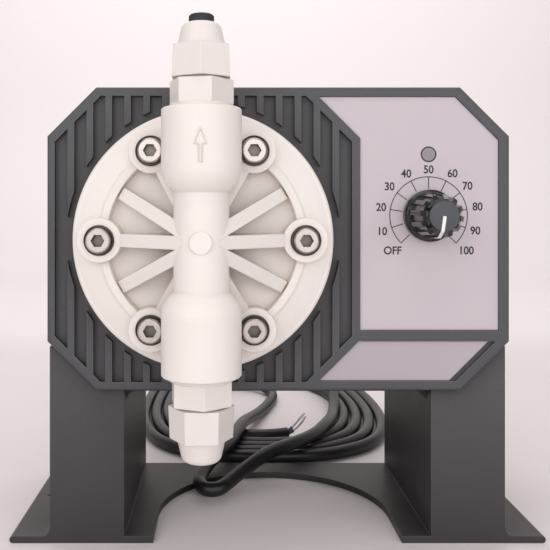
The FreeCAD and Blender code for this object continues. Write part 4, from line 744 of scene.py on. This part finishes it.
def knob_cap():
    """Matt disc let into the knob's top."""
    bpy.ops.mesh.primitive_cylinder_add(
        vertices=64, radius=KNOB_CAP_RADIUS, depth=KNOB_CAP_DEPTH,
        location=(DIAL_X, KNOB_TOP_Y - KNOB_CAP_SINK, DIAL_Z), rotation=(math.radians(90), 0, 0),
    )
    cap = apply_place(named("knob_cap"))
    add_modifier(cap, "BEVEL", width=KNOB_CAP_BEVEL, segments=2, limit_method="ANGLE")
    bpy.ops.object.shade_smooth_by_angle(angle=math.radians(40))
    dress(cap, CAP_FINISH)
    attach(cap, "knob")


def pointer_side():
    """The pointer's line, carried on over the knob's edge and part of the way down a ridge."""
    outward = Vector((math.sin(POINTER_ANGLE), 0, math.cos(POINTER_ANGLE)))
    across = Vector((outward.z, 0, -outward.x))
    rows = len(POINTER_STATIONS) - 1
    bpy.ops.mesh.primitive_grid_add(x_subdivisions=1, y_subdivisions=rows, size=2.0)
    strip = named("pointer_line")
    centre = Vector((DIAL_X, 0, DIAL_Z))
    for vertex in strip.data.vertices:
        radius, depth = POINTER_STATIONS[round((vertex.co.y + 1) / 2 * rows)]
        side = POINTER_HALF_WIDTH if vertex.co.x > 0 else -POINTER_HALF_WIDTH
        vertex.co = centre + outward * radius * MM + across * side + Vector((0, depth * MM, 0))
    pick(strip)
    bpy.ops.object.mode_set(mode="EDIT")
    bpy.ops.mesh.select_all(action="SELECT")
    bpy.ops.mesh.normals_make_consistent(inside=False)
    bpy.ops.object.mode_set(mode="OBJECT")
    if sum(p.normal.dot(outward) for p in strip.data.polygons) < 0:
        strip.data.flip_normals()
    add_modifier(strip, "SOLIDIFY", thickness=POINTER_DEPTH, offset=-1.0)
    dress(strip, FINISHES["pointer_white"])
    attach(strip, "knob")


# Flow arrow on the upper barrel. Its heights are above the head's axis.

ARROW_TIP = 36.2 * MM
ARROW_BASE = 30.6 * MM
ARROW_FOOT = 25.1 * MM
ARROW_HALF_HEAD = 2.15 * MM
ARROW_HALF_SHAFT = 0.7 * MM
ARROW_LINE = 0.34 * MM
ARROW_RISE = 0.32 * MM
ARROW_SINK = 0.05 * MM
ARROW_BEVEL = 0.08 * MM
ARROW_MARGIN = 0.01 * MM


def flow_arrow():
    """Raised outline of an arrow, laid on the barrel's curve."""
    bpy.ops.mesh.primitive_circle_add(
        vertices=3, radius=1.0, fill_type="NGON", rotation=(math.radians(90), 0, 0),
    )
    arrow = apply_place(named("flow_arrow"))
    corners = sorted(arrow.data.vertices, key=lambda v: v.co.z)
    for vertex, place in zip(sorted(corners[:2], key=lambda v: v.co.x), (-ARROW_HALF_HEAD, ARROW_HALF_HEAD)):
        vertex.co = (HEAD_X + place, 0, HEAD_Z + ARROW_BASE)
    corners[2].co = (HEAD_X, 0, HEAD_Z + ARROW_TIP)
    bpy.ops.object.mode_set(mode="EDIT")
    bpy.ops.mesh.select_mode(type="EDGE")
    bpy.ops.mesh.select_all(action="DESELECT")
    bpy.ops.object.mode_set(mode="OBJECT")
    for edge in arrow.data.edges:
        ends = [arrow.data.vertices[i].co.z for i in edge.vertices]
        edge.select = max(ends) < HEAD_Z + ARROW_BASE + ARROW_MARGIN
    bpy.ops.object.mode_set(mode="EDIT")
    bpy.ops.mesh.subdivide(number_cuts=2)
    bpy.ops.object.mode_set(mode="OBJECT")
    inner = [v for v in arrow.data.vertices if v.co.z < HEAD_Z + ARROW_BASE + ARROW_MARGIN]
    inner = sorted(inner, key=lambda v: v.co.x)[1:-1]
    for vertex, place in zip(inner, (-ARROW_HALF_SHAFT, ARROW_HALF_SHAFT)):
        vertex.co.x = HEAD_X + place
    middle = {v.index for v in inner}
    for vertex in arrow.data.vertices:
        vertex.select = False
    for edge in arrow.data.edges:
        edge.select = set(edge.vertices) == middle
    bpy.ops.object.mode_set(mode="EDIT")
    bpy.ops.mesh.select_mode(type="EDGE")
    bpy.ops.mesh.extrude_region_move(TRANSFORM_OT_translate={"value": (0, 0, ARROW_FOOT - ARROW_BASE)})
    bpy.ops.mesh.select_all(action="SELECT")
    bpy.ops.mesh.dissolve_limited(angle_limit=math.radians(1))
    bpy.ops.mesh.select_all(action="SELECT")
    bpy.ops.mesh.inset(thickness=ARROW_LINE, use_even_offset=True)
    bpy.ops.mesh.delete(type="FACE")
    bpy.ops.mesh.select_all(action="SELECT")
    bpy.ops.mesh.subdivide(number_cuts=2)
    bpy.ops.object.mode_set(mode="OBJECT")
    for vertex in arrow.data.vertices:
        aside = vertex.co.x - HEAD_X
        vertex.co.y = COLUMN_Y - math.sqrt(BARREL_RADIUS ** 2 - aside ** 2) + ARROW_SINK
    face_front(arrow)
    add_modifier(arrow, "SOLIDIFY", thickness=ARROW_RISE, offset=1.0)
    add_modifier(arrow, "BEVEL", width=ARROW_BEVEL, segments=2, limit_method="ANGLE")
    dress(arrow, FINISHES["head_plastic"])
    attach(arrow, "pump")


# Mains lead

def coil_points():
    """Turns of the lead on the floor, from the outer lane inwards."""
    points = []
    count = int(COIL_SWEEP / COIL_STEP)
    spread = 1 / math.cos(math.radians(COIL_STEP) / 2)
    for i in range(count + 1):
        share = i / count
        turn = math.radians(COIL_START + COIL_SWEEP * share)
        power = COIL_POWER_OUTSIDE + (COIL_POWER_INSIDE - COIL_POWER_OUTSIDE) * share
        swell = spread * (abs(math.cos(turn)) ** power + abs(math.sin(turn)) ** power) ** (-1 / power)
        x = COIL_CENTRE[0] + (COIL_OUTER[0] - COIL_INSET * share) * swell * math.cos(turn)
        y = COIL_CENTRE[1] + (COIL_OUTER[1] - COIL_INSET * share) * swell * math.sin(turn)
        points.append((x, y, COIL_FIRST_HEIGHT if i == 0 else COIL_FLOOR))
    return points


def nurbs(name, points, radius):
    """A smooth round line through the space between its control points."""
    curve = bpy.data.curves.new(name, "CURVE")
    curve.dimensions = "3D"
    curve.bevel_depth = radius
    curve.bevel_resolution = 6
    curve.use_fill_caps = True
    spline = curve.splines.new("NURBS")
    spline.points.add(len(points) - 1)
    for point, place in zip(spline.points, points):
        point.co = (*(c * MM for c in place), 1.0)
    spline.order_u = 3
    spline.use_endpoint_u = True
    spline.resolution_u = 8
    piece = bpy.data.objects.new(name, curve)
    bpy.context.scene.collection.objects.link(piece)
    return piece


def line_of(points):
    """Places along a route's smooth line."""
    bare = nurbs("route", points, 0.0)
    bpy.context.view_layer.update()
    mesh = bpy.data.meshes.new_from_object(bare)
    places = [v.co.copy() for v in mesh.vertices]
    bpy.data.objects.remove(bare)
    bpy.data.meshes.remove(mesh)
    return places


def bare_strands(name, places, radius):
    """Thin tinned strands twisted about the last stretch of a core."""
    strands = []
    for k in range(STRAND_COUNT):
        twisted = []
        for i, place in enumerate(places):
            turn = 2 * math.pi * k / STRAND_COUNT + i * STRAND_TWIST
            loosen = radius * (0.8 + 0.7 * i / len(places))
            offset = Vector((math.cos(turn), 0.2 * math.cos(turn), math.sin(turn))) * loosen
            twisted.append(tuple((place + offset) / MM))
        strands.append(as_mesh(nurbs(f"{name}_{k}", twisted, STRAND_RADIUS)))
    bundle = join(strands, name)
    dress(bundle, TINNED_STRANDS)
    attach(bundle, "pump")
    return bundle


def core(name, route, finish):
    """One insulated core of the lead with its bare end."""
    insulated = nurbs(name, route, CORE_RADIUS)
    insulated.data.bevel_factor_end = INSULATED_SHARE
    insulated = as_mesh(insulated)
    insulated.name = name
    dress(insulated, finish)
    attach(insulated, "pump")
    places = line_of(route)
    start = int(BARE_FROM_SHARE * len(places))
    return [insulated, bare_strands(f"{name}_strands", places[start:], CORE_BUNDLE_RADIUS)]


def mains_lead():
    """The whole lead as one line, from the sleeve to the stripped end, in place of the solids' lead."""
    lead = nurbs("mains_lead", LEAD_ROUTE + COIL_ENTRY + coil_points() + TAIL_ROUTE, LEAD_DIAMETER / 2)
    dress(lead, FINISHES["cord_jacket"])
    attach(lead, "pump")
    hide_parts("power_cord", "power_cord_coil", "power_cord_tail")
    cores = core("core_blue", CORE_ROUTES["blue"], BLUE_CORE)
    cores += core("core_brown", CORE_ROUTES["brown"], BROWN_CORE)
    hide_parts("cord_conductors")


# Studio

STAGE_WIDTH = 6.0
STAGE_MIDDLE_Y = -0.35
STAGE_DEPTH = 3.3
WALL_HEIGHT = 3.0
SWEEP_RADIUS = 0.35
BEHIND_PUMP_Y = 0.2
# Where the paper changes from painted shade near the pump to painted light behind it
LIGHTER_FROM_Y = 0.30
LIGHTER_TO_Y = 0.46
WORLD_STRENGTH = 0.36


def paper():
    """Pale paper with painted shade on the floor round the pump and painted light behind it."""
    material, tree, shader = new_finish("pale_studio_paper")
    cloud = noise(tree, 1.5, 2.0)
    near = mixed(tree, cloud, (0.80, 0.745, 0.745), (0.84, 0.785, 0.785))
    place = tree.nodes.new("ShaderNodeTexCoord")
    apart = tree.nodes.new("ShaderNodeSeparateXYZ")
    tree.links.new(place.outputs["Object"], apart.inputs["Vector"])
    beyond = tree.nodes.new("ShaderNodeMapRange")
    beyond.interpolation_type = "SMOOTHSTEP"
    beyond.inputs["From Min"].default_value = LIGHTER_FROM_Y
    beyond.inputs["From Max"].default_value = LIGHTER_TO_Y
    tree.links.new(apart.outputs["Y"], beyond.inputs["Value"])
    # Painted light: the paper is lighter from LIGHTER_FROM_Y backwards, and the floor nearer the pump is
    # painted shade
    colour = mixed(tree, beyond.outputs["Result"], near, (0.90, 0.855, 0.855))
    tree.links.new(colour, shader.inputs["Base Color"])
    shader.inputs["Roughness"].default_value = 0.55
    return material


def studio():
    """Floor that sweeps up into a wall well behind the pump."""
    bpy.ops.mesh.primitive_plane_add(size=1.0, location=(0, STAGE_MIDDLE_Y, 0))
    floor = named("studio_sweep")
    floor.scale = (STAGE_WIDTH, STAGE_DEPTH, 1.0)
    apply_place(floor)
    bpy.ops.object.mode_set(mode="EDIT")
    bpy.ops.mesh.select_mode(type="EDGE")
    bpy.ops.mesh.select_all(action="DESELECT")
    bpy.ops.object.mode_set(mode="OBJECT")
    for edge in floor.data.edges:
        edge.select = all(floor.data.vertices[i].co.y > BEHIND_PUMP_Y for i in edge.vertices)
    bpy.ops.object.mode_set(mode="EDIT")
    bpy.ops.mesh.extrude_region_move(TRANSFORM_OT_translate={"value": (0, 0, WALL_HEIGHT)})
    bpy.ops.object.mode_set(mode="OBJECT")
    for edge in floor.data.edges:
        ends = [floor.data.vertices[i].co for i in edge.vertices]
        edge.select = all(end.y > BEHIND_PUMP_Y and end.z < WALL_HEIGHT / 2 for end in ends)
    bpy.ops.object.mode_set(mode="EDIT")
    bpy.ops.mesh.bevel(offset=SWEEP_RADIUS, segments=16)
    bpy.ops.object.mode_set(mode="OBJECT")
    bpy.ops.object.shade_smooth()
    dress(floor, paper())


def softbox(name, place, target, size, power, colour):
    """Rectangular light that looks at a target."""
    light = bpy.data.lights.new(name, "AREA")
    light.shape = "RECTANGLE"
    light.size, light.size_y = size
    light.energy = power
    light.color = colour
    lamp = bpy.data.objects.new(name, light)
    lamp.location = place
    lamp.rotation_euler = (Vector(target) - Vector(place)).to_track_quat("-Z", "Y").to_euler()
    bpy.context.scene.collection.objects.link(lamp)


def lights():
    """Soft light from above and from the front, a wash on the wall, and the room's own light."""
    softbox("overhead", (-0.1, -0.35, 1.1), (0, 0, 0.08), (1.2, 0.8), 3.6, (1.0, 0.985, 0.975))
    softbox("front_left", (-0.8, -1.1, 0.6), (0, 0, 0.1), (0.8, 0.8), 5.4, (1.0, 0.98, 0.97))
    softbox("front_right", (0.8, -1.0, 0.45), (0, 0, 0.1), (0.8, 0.8), 3.9, (1.0, 0.98, 0.985))
    softbox("front_fill", (0.0, -1.3, 0.35), (0, 0, 0.1), (0.9, 0.6), 3.3, (1.0, 0.98, 0.975))
    softbox("wall_wash", (0.0, 0.45, 1.3), (0, 1.25, 0.45), (1.6, 0.5), 8.5, (1.0, 0.985, 0.98))
    world = bpy.data.worlds.new("studio_air")
    world.use_nodes = True
    air = world.node_tree.nodes["Background"]
    air.inputs["Color"].default_value = (1.0, 0.955, 0.955, 1.0)
    air.inputs["Strength"].default_value = WORLD_STRENGTH
    bpy.context.scene.world = world
    bpy.context.scene.view_settings.view_transform = "Standard"


def camera():
    """Eye level with the upper edge of the head, close in front."""
    data = bpy.data.cameras.new("front_camera")
    data.sensor_width = 36.0
    data.lens = 49.7
    data.shift_x = 0.096
    data.shift_y = -0.122
    data.clip_start = 0.01
    eye = bpy.data.objects.new("front_camera", data)
    eye.location = (-0.020, -0.314, 0.1212)
    eye.rotation_euler = (math.radians(90.0), 0.0, 0.0)
    bpy.context.scene.collection.objects.link(eye)
    bpy.context.scene.camera = eye


dress_solids()
camera()
mains_lead()
studio()
lights()
dial()
lamp_surround()
knob_cap()
pointer_side()
flow_arrow()
